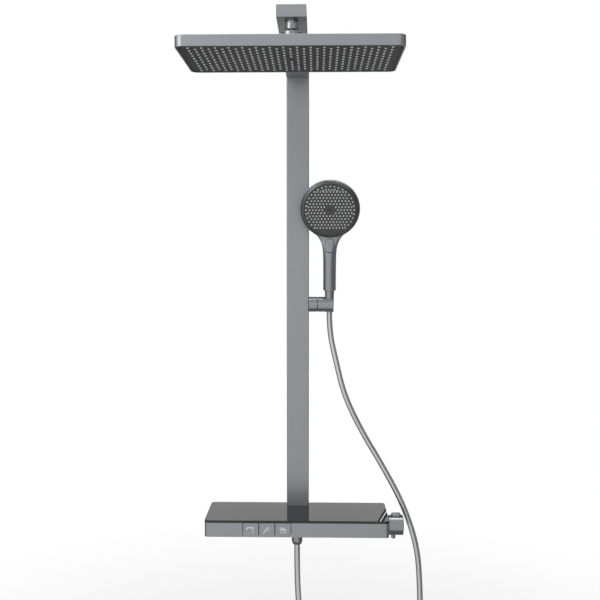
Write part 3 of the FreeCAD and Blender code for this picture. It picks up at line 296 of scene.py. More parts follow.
slot_finish = {
    "gunmetal": gunmetal,
    "black_glass": glass,
    "seal": rubber,
    "brass": brass,
    "zinc": zinc,
    "steel": steel,
    "dark_face": face_dark,
    "slip": slip,
    "hose": hose_skin,
}
node_finish = {
    "riser_column": gunmetal_tall,
    "shelf_body": gunmetal_wide,
    "head_shell": gunmetal_wide,
    "key_spout": gunmetal_wide,
    "key_hand": gunmetal_wide,
    "key_rain": gunmetal_wide,
    "head_collar": gunmetal_round_shaded,
    "ball_stem": gunmetal_round_shaded,
    "holder_base": gunmetal_hand_shaded,
    "holder_cradle": gunmetal_hand_shaded,
    "hose_nut_upper": gunmetal_hand_shaded,
    "temperature_knob": gunmetal_round_shaded,
    "knob_stud": gunmetal_round_shaded,
    "knob_cap": gunmetal_round_shaded,
    "knob_ring": gunmetal_round_shaded,
    "stop_button": gunmetal_round_shaded,
}
for name, node in nodes.items():
    for holder in node.material_slots:
        chosen = node_finish.get(name) or slot_finish[holder.material.name.split(".")[0]]
        holder.material = chosen.material


# Making shapes and pieces: shapes are drawn in millimetres and kept in metres

SAME_SPOT = 1e-7
CORNER_STEPS = 8
LEAST_ROUND = 0.05


def finish_piece(obj, body, stands_for=()):
    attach(obj, body)
    if stands_for:
        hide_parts(*stands_for)


def crisp_edges(shape, limit):
    """Smooth faces, with the edges that turn by more than limit degrees kept sharp."""
    for face in shape.faces:
        face.smooth = True
    for edge in shape.edges:
        edge.smooth = len(edge.link_faces) == 2 and edge.calc_face_angle(0.0) < math.radians(limit)


def from_shape(name, shape, finishes, limit=32, outward=True):
    """Object made of a shape, with its doubles merged and its faces turned outwards."""
    bmesh.ops.remove_doubles(shape, verts=shape.verts[:], dist=SAME_SPOT)
    if outward:
        bmesh.ops.recalc_face_normals(shape, faces=shape.faces[:])
    crisp_edges(shape, limit)
    mesh = bpy.data.meshes.new(name)
    shape.to_mesh(mesh)
    shape.free()
    for finish in finishes:
        mesh.materials.append(finish.material)
    return new_object(name, mesh)


def evaluated(obj):
    """Plain mesh of an object with its modifiers applied; the object and its modifiers go."""
    mesh = bpy.data.meshes.new_from_object(obj.evaluated_get(bpy.context.evaluated_depsgraph_get()))
    bpy.data.objects.remove(obj)
    return mesh


def shape_of(mesh):
    shape = bmesh.new()
    shape.from_mesh(mesh)
    return shape


def moved(shape, place):
    bmesh.ops.transform(shape, matrix=place, verts=shape.verts[:])
    return shape


def merged(*shapes):
    """One shape from several."""
    whole = bmesh.new()
    for shape in shapes:
        part = bpy.data.meshes.new("part")
        shape.to_mesh(part)
        shape.free()
        whole.from_mesh(part)
        bpy.data.meshes.remove(part)
    return whole


def bridge(shape, rings):
    """Faces from each ring of points to the next, in order; a ring of one point is a pole."""
    faces = []
    for low, high in zip(rings, rings[1:]):
        count = max(len(low), len(high))
        for step in range(count):
            after = (step + 1) % count
            near = (low[step % len(low)], low[after % len(low)])
            far = (high[after % len(high)], high[step % len(high)])
            faces.append(shape.faces.new(list(dict.fromkeys(near + far))))
    return faces


def lathe(profile, sides=72, across=math.inf):
    """Shape turned about Z from points (radius, height); a radius of 0 is a pole.

    Where across is given, the shape is also milled to a hexagon of that size across its flats.
    """
    shape = bmesh.new()
    rings = []
    for limit, height in profile:
        ring = []
        for step in range(sides if limit > 0 else 1):
            angle = 2 * math.pi * step / sides
            from_flat = (angle + math.pi / 6) % (math.pi / 3) - math.pi / 6
            radius = min(limit, across / 2 / math.cos(from_flat))
            ring.append(shape.verts.new(mm(radius * math.cos(angle), radius * math.sin(angle), height)))
        rings.append(ring)
    bridge(shape, rings)
    return shape


def softened(path, steps=5):
    """Points from (x, y, round): a corner between the ends becomes an arc where it has a round."""
    points = []
    for number, (x, y, round_by) in enumerate(path):
        if round_by <= 0 or number in (0, len(path) - 1):
            points.append((x, y))
            continue
        here = Vector((x, y))
        before = Vector(path[number - 1][:2]) - here
        after = Vector(path[number + 1][:2]) - here
        half = before.angle(after) / 2
        reach = min(round_by / math.tan(half), before.length / 2, after.length / 2)
        start = here + before.normalized() * reach
        stop = here + after.normalized() * reach
        for step in range(steps + 1):
            share = step / steps
            bend = start.lerp(here, share).lerp(here.lerp(stop, share), share)
            points.append((bend.x, bend.y))
    return points


def slab(outline, levels):
    """Closed stack of rounded rectangles, one for each level (inset, height).

    The outline is (half width, half depth, round of the corners).
    """
    wide, deep, corner = outline
    shape = bmesh.new()
    rings = []
    for inset, height in levels:
        round_by = max(corner - inset, LEAST_ROUND)
        ring = []
        for turn, (sign_x, sign_y) in enumerate(((1, 1), (-1, 1), (-1, -1), (1, -1))):
            centre_x = sign_x * (wide - inset - round_by)
            centre_y = sign_y * (deep - inset - round_by)
            for step in range(CORNER_STEPS + 1):
                angle = math.pi / 2 * (turn + step / CORNER_STEPS)
                x = centre_x + round_by * math.cos(angle)
                y = centre_y + round_by * math.sin(angle)
                ring.append(shape.verts.new(mm(x, y, height)))
        rings.append(ring)
    bridge(shape, rings)
    shape.faces.new(rings[0])
    shape.faces.new(rings[-1])
    return shape


# Hose: one smooth line through the route's points, in two lengths that meet below the holder

HOSE_DIAMETER = 13 * MM
HOSE_SIDES = 28
HOSE_STEPS = 18
LOWER_ROUTE = [
    mm(0, -135, -43.5),
    mm(0, -135, -104.95),
    mm(3, -135, -174.75),
    mm(9.83, -135, -249.57),
    mm(20.76, -135, -324.81),
    mm(39.87, -134.21, -396.71),
    mm(84.11, -132.63, -444.36),
    mm(148.02, -130.26, -461.5),
    mm(211.93, -127.09, -444.36),
    mm(258.08, -123.93, -396.71),
    mm(272.01, -119.98, -321.47),
    mm(275.83, -115.24, -239.96),
    mm(275.01, -109.7, -149.67),
    mm(269, -103.38, -59.8),
    mm(239.38, -89.15, 29.4),
    mm(193.95, -78.08, 113.35),
    mm(142.6, -68.59, 197.31),
    mm(105.08, -62.27, 276.01),
    mm(96.188, -60.289, 312.743),
]
UPPER_ROUTE = [
    mm(96.188, -60.289, 312.743),
    mm(87.3, -58.31, 349.47),
    mm(71.5, -48.74, 419.48),
    mm(71.5, -55.94, 464.91),
]


def hose_line(route):
    """Points along the route's smooth spline."""
    curve = bpy.data.curves.new("hose_line", "CURVE")
    curve.dimensions = "3D"
    curve.resolution_u = HOSE_STEPS
    spline = curve.splines.new("NURBS")
    spline.points.add(len(route) - 1)
    for point, spot in zip(spline.points, route):
        point.co = (*spot, 1.0)
    spline.order_u = 3
    spline.use_endpoint_u = True
    mesh = evaluated(new_object("hose_line", curve))
    spots = [vertex.co.copy() for vertex in mesh.vertices]
    bpy.data.curves.remove(curve)
    bpy.data.meshes.remove(mesh)
    return spots


def travel(spots, start=0.0):
    """Length from the start to each of the spots."""
    lengths = [start]
    for before, here in zip(spots, spots[1:]):
        lengths.append(lengths[-1] + (here - before).length)
    return lengths


def tube(name, spots, lengths, radius, finish):
    """Closed tube along the spots, with a winding map: once round in U, metres of length in V."""
    shape = bmesh.new()
    winding = shape.loops.layers.uv.new(WINDING_MAP)
    heading = (spots[1] - spots[0]).normalized()
    side = heading.orthogonal().normalized()
    rings = []
    for number, spot in enumerate(spots):
        ahead = spots[min(number + 1, len(spots) - 1)] - spots[max(number - 1, 0)]
        ahead.normalize()
        side = heading.rotation_difference(ahead) @ side
        side = (side - ahead * side.dot(ahead)).normalized()
        heading = ahead
        other = heading.cross(side)
        ring = []
        for step in range(HOSE_SIDES):
            angle = 2 * math.pi * step / HOSE_SIDES
            ring.append(shape.verts.new(spot + radius * (math.cos(angle) * side + math.sin(angle) * other)))
        rings.append(ring)
    for index, face in enumerate(bridge(shape, rings)):
        face.smooth = True
        number, step = divmod(index, HOSE_SIDES)
        turns = (step, step + 1, step + 1, step)
        levels = (number, number, number + 1, number + 1)
        for loop, turn, level in zip(face.loops, turns, levels):
            loop[winding].uv = (turn / HOSE_SIDES, lengths[level])
    for ring in (rings[0][::-1], rings[-1]):
        for edge in shape.faces.new(ring).edges:
            edge.smooth = False
    mesh = bpy.data.meshes.new(name)
    shape.to_mesh(mesh)
    shape.free()
    mesh.materials.append(finish.material)
    return new_object(name, mesh)


lower_spots = hose_line(LOWER_ROUTE)
upper_spots = hose_line(UPPER_ROUTE)
lower_lengths = travel(lower_spots)
upper_lengths = travel(upper_spots, lower_lengths[-1])
hose_lower = tube("hose_lower_skin", lower_spots, lower_lengths, HOSE_DIAMETER / 2, hose_skin)
hose_upper = tube("hose_upper_skin", upper_spots, upper_lengths, HOSE_DIAMETER / 2, hose_skin)
for piece, node in ((hose_lower, "hose_lower"), (hose_upper, "hose_upper")):
    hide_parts(node)
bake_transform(hose_lower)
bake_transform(hose_upper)


# Geometry node trees for what repeats: nozzles, printed drops and screws


class Tree:
    """A geometry node tree with named inputs."""

    def __init__(self, name, **inputs):
        self.tree = bpy.data.node_groups.new(name, "GeometryNodeTree")
        self.names = {}
        for key, kind in inputs.items():
            socket = self.tree.interface.new_socket(key, in_out="INPUT", socket_type="NodeSocket" + kind)
            self.names[key] = socket.identifier
        self.tree.interface.new_socket("Geometry", in_out="OUTPUT", socket_type="NodeSocketGeometry")
        self.group = self.node("NodeGroupInput")

    def input(self, key):
        return self.group.output(key)

    def node(self, kind, settings=None, sockets=None, output=0):
        return grow(self.tree, kind, settings, sockets, output)

    def join(self, *flows):
        whole = self.node("GeometryNodeJoinGeometry")
        for flow in flows:
            plug(self.tree, whole.socket.node.inputs[0], flow)
        return whole

    def solid(self, kind, sides, **sizes):
        """Closed mesh cone or cylinder of this many sides."""
        sockets = {key.replace("_", " "): value for key, value in sizes.items()}
        return self.node("GeometryNodeMesh" + kind, {"fill_type": "NGON"}, {"Vertices": sides, **sockets})

    def grid(self, columns, rows, pitch, row_pitch):
        """Points in columns and rows about the middle; the sizes are flows."""
        sizes = {"Size X": pitch * (columns - 1), "Size Y": row_pitch * (rows - 1)}
        counts = {"Vertices X": columns, "Vertices Y": rows}
        return self.node("GeometryNodeMeshGrid", None, {**sizes, **counts})

    def lifted(self, part, height):
        lift = self.node("ShaderNodeCombineXYZ", None, {"Z": height})
        return self.node("GeometryNodeTransform", None, {"Geometry": part, "Translation": lift})

    def spread(self, part, points, finish, **choices):
        """The part on each of the points, made real, with the finish of the input of that name."""
        sockets = {"Points": points, "Instance": part, **choices}
        placed = self.node("GeometryNodeInstanceOnPoints", None, sockets)
        real = self.node("GeometryNodeRealizeInstances", None, {"Geometry": placed})
        sockets = {"Geometry": real, "Material": self.input(finish)}
        return self.node("GeometryNodeSetMaterial", None, sockets)

    def end(self, flow):
        out = self.tree.nodes.new("NodeGroupOutput")
        self.tree.links.new(flow.socket, out.inputs[0])

    def made(self, name, place, limit=40, spots=(), **values):
        """The tree's result with these values, as a plain mesh object at its place."""
        points = bpy.data.meshes.new(name + "_seed")
        points.from_pydata(list(spots), [], [])
        seed = new_object(name + "_seed", points)
        modifier = seed.modifiers.new("tree", "NODES")
        modifier.node_group = self.tree
        for key, value in values.items():
            modifier[self.names[key]] = value
        result = evaluated(seed)
        shape = moved(shape_of(result), place)
        crisp_edges(shape, limit)
        shape.to_mesh(result)
        shape.free()
        return new_object(name, result)


NOZZLE_SIDES = 12
FOOT_TOP = 1.08
FOOT_BOTTOM = 1.22
FOOT_HEIGHT = 0.24
# Size of the dark disc on each nozzle's tip, painted as the shade in its hole
MOUTH_SIDES = 8
MOUTH_RADIUS = 0.45
MOUTH_DEPTH = 0.06
MOUTH_LIFT = 0.98


def nozzles_on(tree, points, selection):
    """A nozzle on each chosen point: foot ring, cone and a dark disc on the tip painted as the shade in its
    hole, made of the tree's named sizes.
    """
    root, tip, height = tree.input("Root"), tree.input("Tip"), tree.input("Height")
    cone = tree.solid("Cone", NOZZLE_SIDES, Radius_Top=tip, Radius_Bottom=root, Depth=height)
    foot = tree.solid(
        "Cone",
        NOZZLE_SIDES,
        Radius_Top=root * FOOT_TOP,
        Radius_Bottom=root * FOOT_BOTTOM,
        Depth=height * FOOT_HEIGHT,
    )
    mouth = tree.solid("Cylinder", MOUTH_SIDES, Radius=tip * MOUTH_RADIUS, Depth=height * MOUTH_DEPTH)
    mouth = tree.lifted(mouth, height * MOUTH_LIFT)
    bodies = tree.spread(tree.join(cone, foot), points, "Body", Selection=selection)
    mouths = tree.spread(mouth, points, "Mouth", Selection=selection)
    tree.end(tree.join(bodies, mouths))


def rain_tree():
    """Rows of nozzles in staggered columns, with the middle left free."""
    tree = Tree(
        "rain_nozzles", Columns="Int", Rows="Int", Pitch="Float", RowPitch="Float", Free="Float",
        Root="Float", Tip="Float", Height="Float", Body="Material", Mouth="Material",
    )
    columns, rows = tree.input("Columns"), tree.input("Rows")
    pitch, row_pitch = tree.input("Pitch") * 2, tree.input("RowPitch")
    odd = tree.grid((columns + 1) * 0.5, rows, pitch, row_pitch)
    even = tree.grid((columns - 1) * 0.5, rows - 1, pitch, row_pitch)
    spot = tree.node("GeometryNodeInputPosition")
    far = tree.node("ShaderNodeVectorMath", {"operation": "LENGTH"}, {0: spot}, output="Value")
    nozzles_on(tree, tree.join(odd, even), far > tree.input("Free"))
    return tree


def spray_tree():
    """A nozzle on each of the points given."""
    tree = Tree(
        "spray_nozzles", Geometry="Geometry",
        Root="Float", Tip="Float", Height="Float", Body="Material", Mouth="Material",
    )
    nozzles_on(tree, tree.input("Geometry"), True)
    return tree


DROP_SIDES = 10
DROP_STRETCH = (1.0, 1.7, 1.0)


def drop_tree():
    """Grid of printed drops, each taller than wide."""
    tree = Tree(
        "printed_drops", Columns="Int", Rows="Int", Pitch="Float", RowPitch="Float",
        Radius="Float", Height="Float", Ink="Material",
    )
    grid = tree.grid(tree.input("Columns"), tree.input("Rows"), tree.input("Pitch"), tree.input("RowPitch"))
    dot = tree.solid("Cylinder", DROP_SIDES, Radius=tree.input("Radius"), Depth=tree.input("Height") * 2)
    tree.end(tree.spread(dot, grid, "Ink", Scale=DROP_STRETCH))
    return tree


SCREW_SIDES = 36
SOCKET_SIDES = 6
SOCKET_LIFT = 0.65


def screw_tree():
    """A chamfered screw head with a hexagon socket on each of the points given."""
    tree = Tree(
        "shelf_screws", Geometry="Geometry",
        Root="Float", Tip="Float", Height="Float", Socket="Float", Metal="Material",
    )
    root, tip, height = tree.input("Root"), tree.input("Tip"), tree.input("Height")
    head = tree.solid("Cone", SCREW_SIDES, Radius_Top=tip, Radius_Bottom=root, Depth=height)
    socket = tree.solid("Cylinder", SOCKET_SIDES, Radius=tree.input("Socket"), Depth=height)
    meshes = {"Mesh 1": head, "Mesh 2": tree.lifted(socket, height * SOCKET_LIFT)}
    head = tree.node("GeometryNodeMeshBoolean", {"operation": "DIFFERENCE"}, meshes)
    tree.end(tree.spread(head, tree.input("Geometry"), "Metal"))
    return tree


UPSIDE_DOWN = Matrix.Rotation(math.pi, 4, "X")
UPRIGHT = Matrix.Rotation(math.pi / 2, 4, "X")


# Rain head: face plate and nozzles

HEAD_HALF = (179.5, 91.5, 10.5)
HEAD_LEVELS = [(0, 2.5), (0, 0.7), (0.25, 0.25), (0.9, 0), (3.2, 0), (3.7, 0.35), (4.3, 0.35), (4.8, 0)]
HEAD_PLACE = Matrix.Translation(mm(0, -508.6, 922.2))

plate = from_shape("rain_face_plate", moved(slab(HEAD_HALF, HEAD_LEVELS), HEAD_PLACE), [face_dark])
finish_piece(plate, "rain_head", ["head_face"])
rain_nozzles = rain_tree().made(
    "rain_nozzles", HEAD_PLACE @ UPSIDE_DOWN,
    Columns=31, Rows=10, Pitch=10.81 * MM, RowPitch=17.3 * MM, Free=5.2 * MM,
    Root=1.85 * MM, Tip=1.45 * MM, Height=1.45 * MM, Body=silicone.material, Mouth=hole_shade.material,
)
finish_piece(rain_nozzles, "rain_head")


# Hand shower: face plate and nozzles

LEAN_ANGLE = 9
FACE_ANGLE = 100
LEAN = Matrix.Translation(mm(71.5, -58.6, 481.7)) @ Matrix.Rotation(math.radians(LEAN_ANGLE), 4, "X")
FACE = LEAN @ Matrix.Translation(mm(0, -26, 216)) @ Matrix.Rotation(math.radians(FACE_ANGLE), 4, "X")
FACE_SIDES = 128
BEZEL_INNER = 57.6
BEZEL_LOW = -3.5
FACE_PROFILE = [
    (0, -4.2, 0), (63.1, -4.2, 0.2), (63.1, -3.4, 0.4), (61.2, -1.5, 2), (58.4, -0.2, 0.5),
    (BEZEL_INNER, -1.4, 0.3), (56.6, -0.2, 0.6), (54.8, 0, 0.5), (14, 0, 0.4), (13.2, -0.25, 0.4),
    (3.4, -0.25, 0), (0, -0.25, 0),
]

dish = lathe(softened(FACE_PROFILE), FACE_SIDES)
# Faces outside the grey face and in front of the rim form the bezel ring and take its darker gunmetal,
# which is painted shade
for face in dish.faces:
    middle = face.calc_center_median() / MM
    face.material_index = int(middle.xy.length > BEZEL_INNER and middle.z > BEZEL_LOW)
dish = from_shape("spray_face_plate", moved(dish, FACE), [face_grey, gunmetal_bezel_shaded], limit=24)
finish_piece(dish, "handset", ["handset_face"])

# Rows are counted from the middle: a full row has (count, pitch), a split row (count a side, first, pitch)
SPRAY_RING = 52.6
SPRAY_RING_STEP = 10
SPRAY_RING_HALF = 14
SPRAY_ROW_PITCH = 6.75
SPRAY_FULL_ROWS = {2: (13, 7.3), 3: (12, 7.35), 4: (11, 7.25), 5: (10, 7.2), 6: (9, 7.05)}
SPRAY_SPLIT_ROWS = {0: (5, 16.9, 6.94), 1: (6, 12.5, 6.96), -1: (6, 12.5, 6.96)}
SPRAY_ARCH = [(3.2, 45.2), (9.6, 45.2), (16, 43.4)]
BOTH_SIDES = (1, -1)


def spray_spots():
    """Full rows, an arch of six, split rows beside the bare middle, and a ring open above the neck."""
    spots = []
    for step in range(-SPRAY_RING_HALF, SPRAY_RING_HALF + 1):
        turn = math.radians(SPRAY_RING_STEP * step)
        spots.append(mm(SPRAY_RING * math.sin(turn), SPRAY_RING * math.cos(turn), 0))
    for row, (count, pitch) in SPRAY_FULL_ROWS.items():
        for side in BOTH_SIDES:
            for number in range(count):
                x = (number - (count - 1) / 2) * pitch
                spots.append(mm(x, side * row * SPRAY_ROW_PITCH, 0))
    for x, level in SPRAY_ARCH:
        spots.extend(mm(side * x, level, 0) for side in BOTH_SIDES)
    for row, (count, first, pitch) in SPRAY_SPLIT_ROWS.items():
        for number in range(count):
            x = first + pitch * number
            spots.extend(mm(side * x, row * SPRAY_ROW_PITCH, 0) for side in BOTH_SIDES)
    return spots


spray_nozzles = spray_tree().made(
    "spray_nozzles", FACE, spots=spray_spots(), Root=1.3 * MM, Tip=1.12 * MM, Height=0.8 * MM,
    Body=silicone_white.material, Mouth=hole_shade.material,
)
finish_piece(spray_nozzles, "handset")


# Hand shower shell: a cage of rows round the disc and strands down the neck, then subdivided

SHELL_LEVELS = 2
SHELL_CREASE = 38
COLUMNS = 48
DISC_ROWS = [
    (34, -4.5), (62.4, -4.5), (63.5, -4.3), (63.5, -3.8), (63.9, -3.5), (64.5, -3.9), (65.2, -5),
    (65.6, -6.6), (65.6, -8.8), (64.2, -11.2), (59.5, -14.4), (52, -18), (43.2, -21.2), (32, -23.6),
    (20, -25.1), (8, -25.85),
]

# The neck grows out of an opening in the disc, between these rows and this many columns to each side
OPENING = 4
OPENING_FRONT = 5
OPENING_BACK = 12
OPENING_TURN = 0.7
BACK_SLOPE = 0.22

NECK_FALL = 9
NECK_FOOT = 104
NECK_RISE = 26
NECK_REACH = 16
NECK_REACH_FRONT = 12
NECK_SHARES = (0.16, 0.32, 0.48, 0.64, 0.8, 1.0)
RING = 30
RING_START = -48
HANDLE_RADIUS = 14.4
HANDLE_ROWS = [
    (HANDLE_RADIUS, 84), (HANDLE_RADIUS, 62), (HANDLE_RADIUS, 44), (HANDLE_RADIUS, 36), (HANDLE_RADIUS, 34),
    (14.1, 33.2), (13.2, 33), (9.8, 33),
]


def cage_growth(sides):
    """Factor that makes a subdivided ring keep its radius."""
    return 6 / (4 + 2 * math.cos(2 * math.pi / sides))


def column_angle(column):
    """Angle of a column in the face's plane; column 0 is at the neck."""
    return math.radians(-90 + column * 360 / COLUMNS)


def disc_point(row, column):
    radius, height = DISC_ROWS[row]
    radius *= cage_growth(COLUMNS)
    angle = column_angle(column)
    return FACE @ mm(radius * math.cos(angle), radius * math.sin(angle), height)


def handle_point(number, radius, height):
    turn = math.radians(RING_START + 360 * number / RING)
    radius *= cage_growth(RING)
    return LEAN @ mm(radius * math.sin(turn), -radius * math.cos(turn), height)


def opening_path():
    """Row and column of the points round the opening, from front left to the right and round the back."""
    front = [(OPENING_FRONT, column) for column in range(-OPENING, OPENING + 1)]
    right = [(row, OPENING) for row in range(OPENING_FRONT + 1, OPENING_BACK + 1)]
    back = [(OPENING_BACK, column) for column in range(OPENING - 1, -OPENING - 1, -1)]
    left = [(row, -OPENING) for row in range(OPENING_BACK - 1, OPENING_FRONT, -1)]
    return front + right + back + left


def opening_heading(row, column):
    """Direction in which the neck's surface runs into the disc, in the face's frame."""
    angle = column_angle(column)
    side = math.copysign(1.0, column) if column else 0.0
    round_about = Vector((-math.sin(angle), math.cos(angle), 0)) * side
    inward = Vector((0, 1, 0))
    if row == OPENING_BACK:
        inward = Vector((-math.cos(angle), -math.sin(angle), -BACK_SLOPE))
    if row in (OPENING_FRONT, OPENING_BACK):
        share = (abs(column) / OPENING) ** 2 * OPENING_TURN
        return (inward * (1 - share) + round_about * share).normalized()
    return round_about.normalized()


def neck_fall(row, column):
    """How far the strand from this point falls back, so the neck is round where it flares."""
    if row == OPENING_FRONT:
        return NECK_FALL * (column / OPENING) ** 2
    return NECK_FALL * (OPENING_BACK - row) / (OPENING_BACK - OPENING_FRONT)


def neck_strand(number, row, column):
    """Control points of the line from a point of the opening down to the handle."""
    top = disc_point(row, column)
    heading = FACE.to_3x3() @ opening_heading(row, column)
    reach = NECK_REACH_FRONT if row == OPENING_FRONT else NECK_REACH
    fall = FACE.to_3x3() @ mm(0, 0, neck_fall(row, column))
    foot = handle_point(number, HANDLE_RADIUS, NECK_FOOT)
    rise = LEAN.to_3x3() @ mm(0, 0, NECK_RISE)
    return [top, top - heading * reach * MM - fall, foot + rise, foot]


def bezier(points, share):
    while len(points) > 1:
        points = [first.lerp(second, share) for first, second in zip(points, points[1:])]
    return points[0]


def handset_cage():
    """Cage of the whole shell: the disc, the neck's strands and the handle."""
    shape = bmesh.new()
    columns = range(-COLUMNS // 2, COLUMNS // 2)
    rows = range(len(DISC_ROWS))
    grid = {}
    for row in rows:
        for column in columns:
            grid[row, column] = shape.verts.new(disc_point(row, column))
    for row in rows[:-1]:
        for column in columns:
            if OPENING_FRONT <= row < OPENING_BACK and -OPENING <= column < OPENING:
                continue
            after = column + 1 if column + 1 in columns else columns[0]
            near = (grid[row, column], grid[row, after])
            far = (grid[row + 1, after], grid[row + 1, column])
            shape.faces.new(near + far)
    for row in (rows[0], rows[-1]):
        shape.faces.new([grid[row, column] for column in columns])
    path = opening_path()
    strands = [neck_strand(number, row, column) for number, (row, column) in enumerate(path)]
    rings = [[grid[spot] for spot in path]]
    for share in NECK_SHARES:
        rings.append([shape.verts.new(bezier(strand, share)) for strand in strands])
    for radius, height in HANDLE_ROWS:
        rings.append([shape.verts.new(handle_point(number, radius, height)) for number in range(RING)])
    bridge(shape, rings)
    shape.faces.new(rings[-1])
    unused = [vertex for vertex in shape.verts if not vertex.link_faces]
    bmesh.ops.delete(shape, geom=unused, context="VERTS")
    return shape


def subdivided(name, shape, finish):
    obj = from_shape(name, shape, [finish])
    smooth = obj.modifiers.new("smooth", "SUBSURF")
    smooth.levels = SHELL_LEVELS
    smooth.render_levels = SHELL_LEVELS
    return evaluated(obj)


shell_mesh = subdivided("handset_skin", handset_cage(), gunmetal_hand_shaded)
whole_shell = shape_of(shell_mesh)
shell_tree = BVHTree.FromBMesh(whole_shell)
whole_shell.free()


# Mode button: a pocket cut in the neck and a button that follows the neck's front

MODE_LEVEL = 135.5
MODE_FRAME = LEAN @ Matrix.Translation(mm(0, 0, MODE_LEVEL)) @ UPRIGHT
MODE_HALF = (8.4, 14.8, 4.3)
MODE_GAP = 1.3
MODE_FLOOR = 9.2
MODE_TRAVEL = 1.5
MODE_PLAY = 0.3
MODE_PROUD = 0.35
POCKET_TOP = 40
RAY_START = 60
BUTTON_FOOT = -20
BUTTON_LEVELS = [
    (0, BUTTON_FOOT), (0, -0.9), (0.22, -0.28), (0.85, 0), (2.4, 0), (4.4, 0), (6.4, 0), (8.2, 0),
]
BUTTON_CUTS = range(-12, 13, 2)


def neck_front(x, up):
    """How far in front of the handle's axis the neck's surface is, in millimetres."""
    start = MODE_FRAME @ mm(x, up, RAY_START)
    spot = shell_tree.ray_cast(start, MODE_FRAME.to_3x3() @ Vector((0, 0, -1)))[0]
    return (MODE_FRAME.inverted() @ spot).z / MM


def with_pocket(mesh):
    """The shell with the button's pocket cut out; the faces at its rim become triangles."""
    pocket_half = tuple(size + MODE_GAP for size in MODE_HALF)
    pocket = slab(pocket_half, [(0, MODE_FLOOR - MODE_TRAVEL - MODE_PLAY), (0, POCKET_TOP)])
    cutter = from_shape("mode_pocket", moved(pocket, MODE_FRAME), [gunmetal_hand_shaded])
    whole = new_object("handset_skin", mesh)
    cut = whole.modifiers.new("pocket", "BOOLEAN")
    cut.object = cutter
    cut.solver = "EXACT"
    shape = shape_of(evaluated(whole))
    bpy.data.objects.remove(cutter)
    sharp = {edge for edge in shape.edges if edge.calc_face_angle(0.0) > math.radians(SHELL_CREASE)}
    rim = [face for face in shape.faces if not sharp.isdisjoint(face.edges)]
    bmesh.ops.triangulate(shape, faces=rim)
    return shape


shell = with_pocket(shell_mesh)
shell = from_shape("handset_skin", shell, [gunmetal_hand_shaded], limit=SHELL_CREASE, outward=False)
finish_piece(shell, "handset", ["handset_shell"])

button = slab(MODE_HALF, BUTTON_LEVELS)
for level in BUTTON_CUTS:
    whole = button.verts[:] + button.edges[:] + button.faces[:]
    bmesh.ops.bisect_plane(button, geom=whole, plane_co=mm(0, level, 0), plane_no=(0, 1, 0))
for vertex in button.verts:
    x, up, drop = vertex.co / MM
    height = MODE_FLOOR if drop < BUTTON_FOOT / 2 else neck_front(x, up) + MODE_PROUD + drop
    vertex.co = MODE_FRAME @ mm(x, up, height)
button = from_shape("mode_button_skin", button, [gunmetal_hand_shaded], limit=50)
finish_piece(button, "mode_button", ["mode_button"])


# Printed marks: one icon for each key, hot and cold ticks on the glass

PRINT_HEIGHT = 0.07
BAR_HEIGHT = PRINT_HEIGHT * 1.2
LEAST_MITRE = 0.3
KEY_FRONT = -175
KEY_LEVEL = -0.2
KEY_CENTRES = {"key_spout": -99.5, "key_hand": -64.5, "key_rain": -29.5}


def stroke(path, width, height=PRINT_HEIGHT):
    """Flat printed line through the points, in millimetres."""
    points = [Vector(point) for point in path]
    shape = bmesh.new()
    rings = []
    for number, here in enumerate(points):
        ahead = points[min(number + 1, len(points) - 1)] - here
        behind = here - points[max(number - 1, 0)]
        ahead = (ahead if ahead.length else behind).normalized()
        behind = (behind if behind.length else ahead).normalized()
        middle = (ahead + behind).normalized()
        across = Vector((-middle.y, middle.x)) * width / 2 / max(middle.dot(ahead), LEAST_MITRE)
        left, right = here + across, here - across
        corners = ((left, 0), (left, height), (right, height), (right, 0))
        rings.append([shape.verts.new(mm(*spot, level)) for spot, level in corners])
    bridge(shape, rings)
    shape.faces.new(rings[0])
    shape.faces.new(rings[-1])
    return shape


def key_place(key, x=0.0, up=0.0):
    spot = mm(KEY_CENTRES[key] + x, KEY_FRONT, KEY_LEVEL + up)
    return Matrix.Translation(spot) @ UPRIGHT


def icon(name, key, *strokes):
    piece = from_shape(name, moved(merged(*strokes), key_place(key)), [white_ink])
    finish_piece(piece, key)


drops = drop_tree()


def printed_drops(name, key, middle, columns, rows, pitch, row_pitch, radius):
    piece = drops.made(
        name, key_place(key, *middle),
        Columns=columns, Rows=rows, Pitch=pitch * MM, RowPitch=row_pitch * MM,
        Radius=radius * MM, Height=PRINT_HEIGHT * MM, Ink=white_ink.material,
    )
    finish_piece(piece, key)


icon("spout_icon", "key_spout", stroke([(-8.1, 1.2), (-8.1, 4.2), (-7.2, 5.2), (6.6, 5.2)], width=1.8))
printed_drops(
    "spout_icon_drops", "key_spout", (4.4, -1.9), columns=2, rows=3, pitch=1.9, row_pitch=3.8, radius=0.6
)

JET_HEADING = Vector((0.827, -0.562))
JET_ROW = Vector((0.562, 0.827))
JET_FIRST = Vector((1.7, 6.6)) + JET_HEADING * 1.3
JET_COUNT = 5
JET_PITCH = 1.75
JET_WIDTH = 0.5
JET_DASHES = ((0, 1.6), (2.2, 3.8), (4.4, 5.4))
jets = []
for step in range(JET_COUNT):
    root = JET_FIRST - JET_ROW * JET_PITCH * step
    for start, stop in JET_DASHES:
        jets.append(stroke([root + JET_HEADING * start, root + JET_HEADING * stop], JET_WIDTH))
icon("hand_icon", "key_hand", stroke([(2.1, 7.3), (-7.8, -7.3)], width=1.5), *jets)

arm = stroke([(-7.1, 5.2), (0.4, 5.2), (1.6, 4.6), (2.2, 3.5), (2.4, 2.4)], width=1.4)
bar = stroke([(-7.1, 2.0), (7.7, 2.0)], width=1.4, height=BAR_HEIGHT)
icon("rain_icon", "key_rain", arm, bar)
printed_drops(
    "rain_icon_drops", "key_rain", (0.8, -3.2), columns=7, rows=3, pitch=2.2, row_pitch=2.5, radius=0.5
)

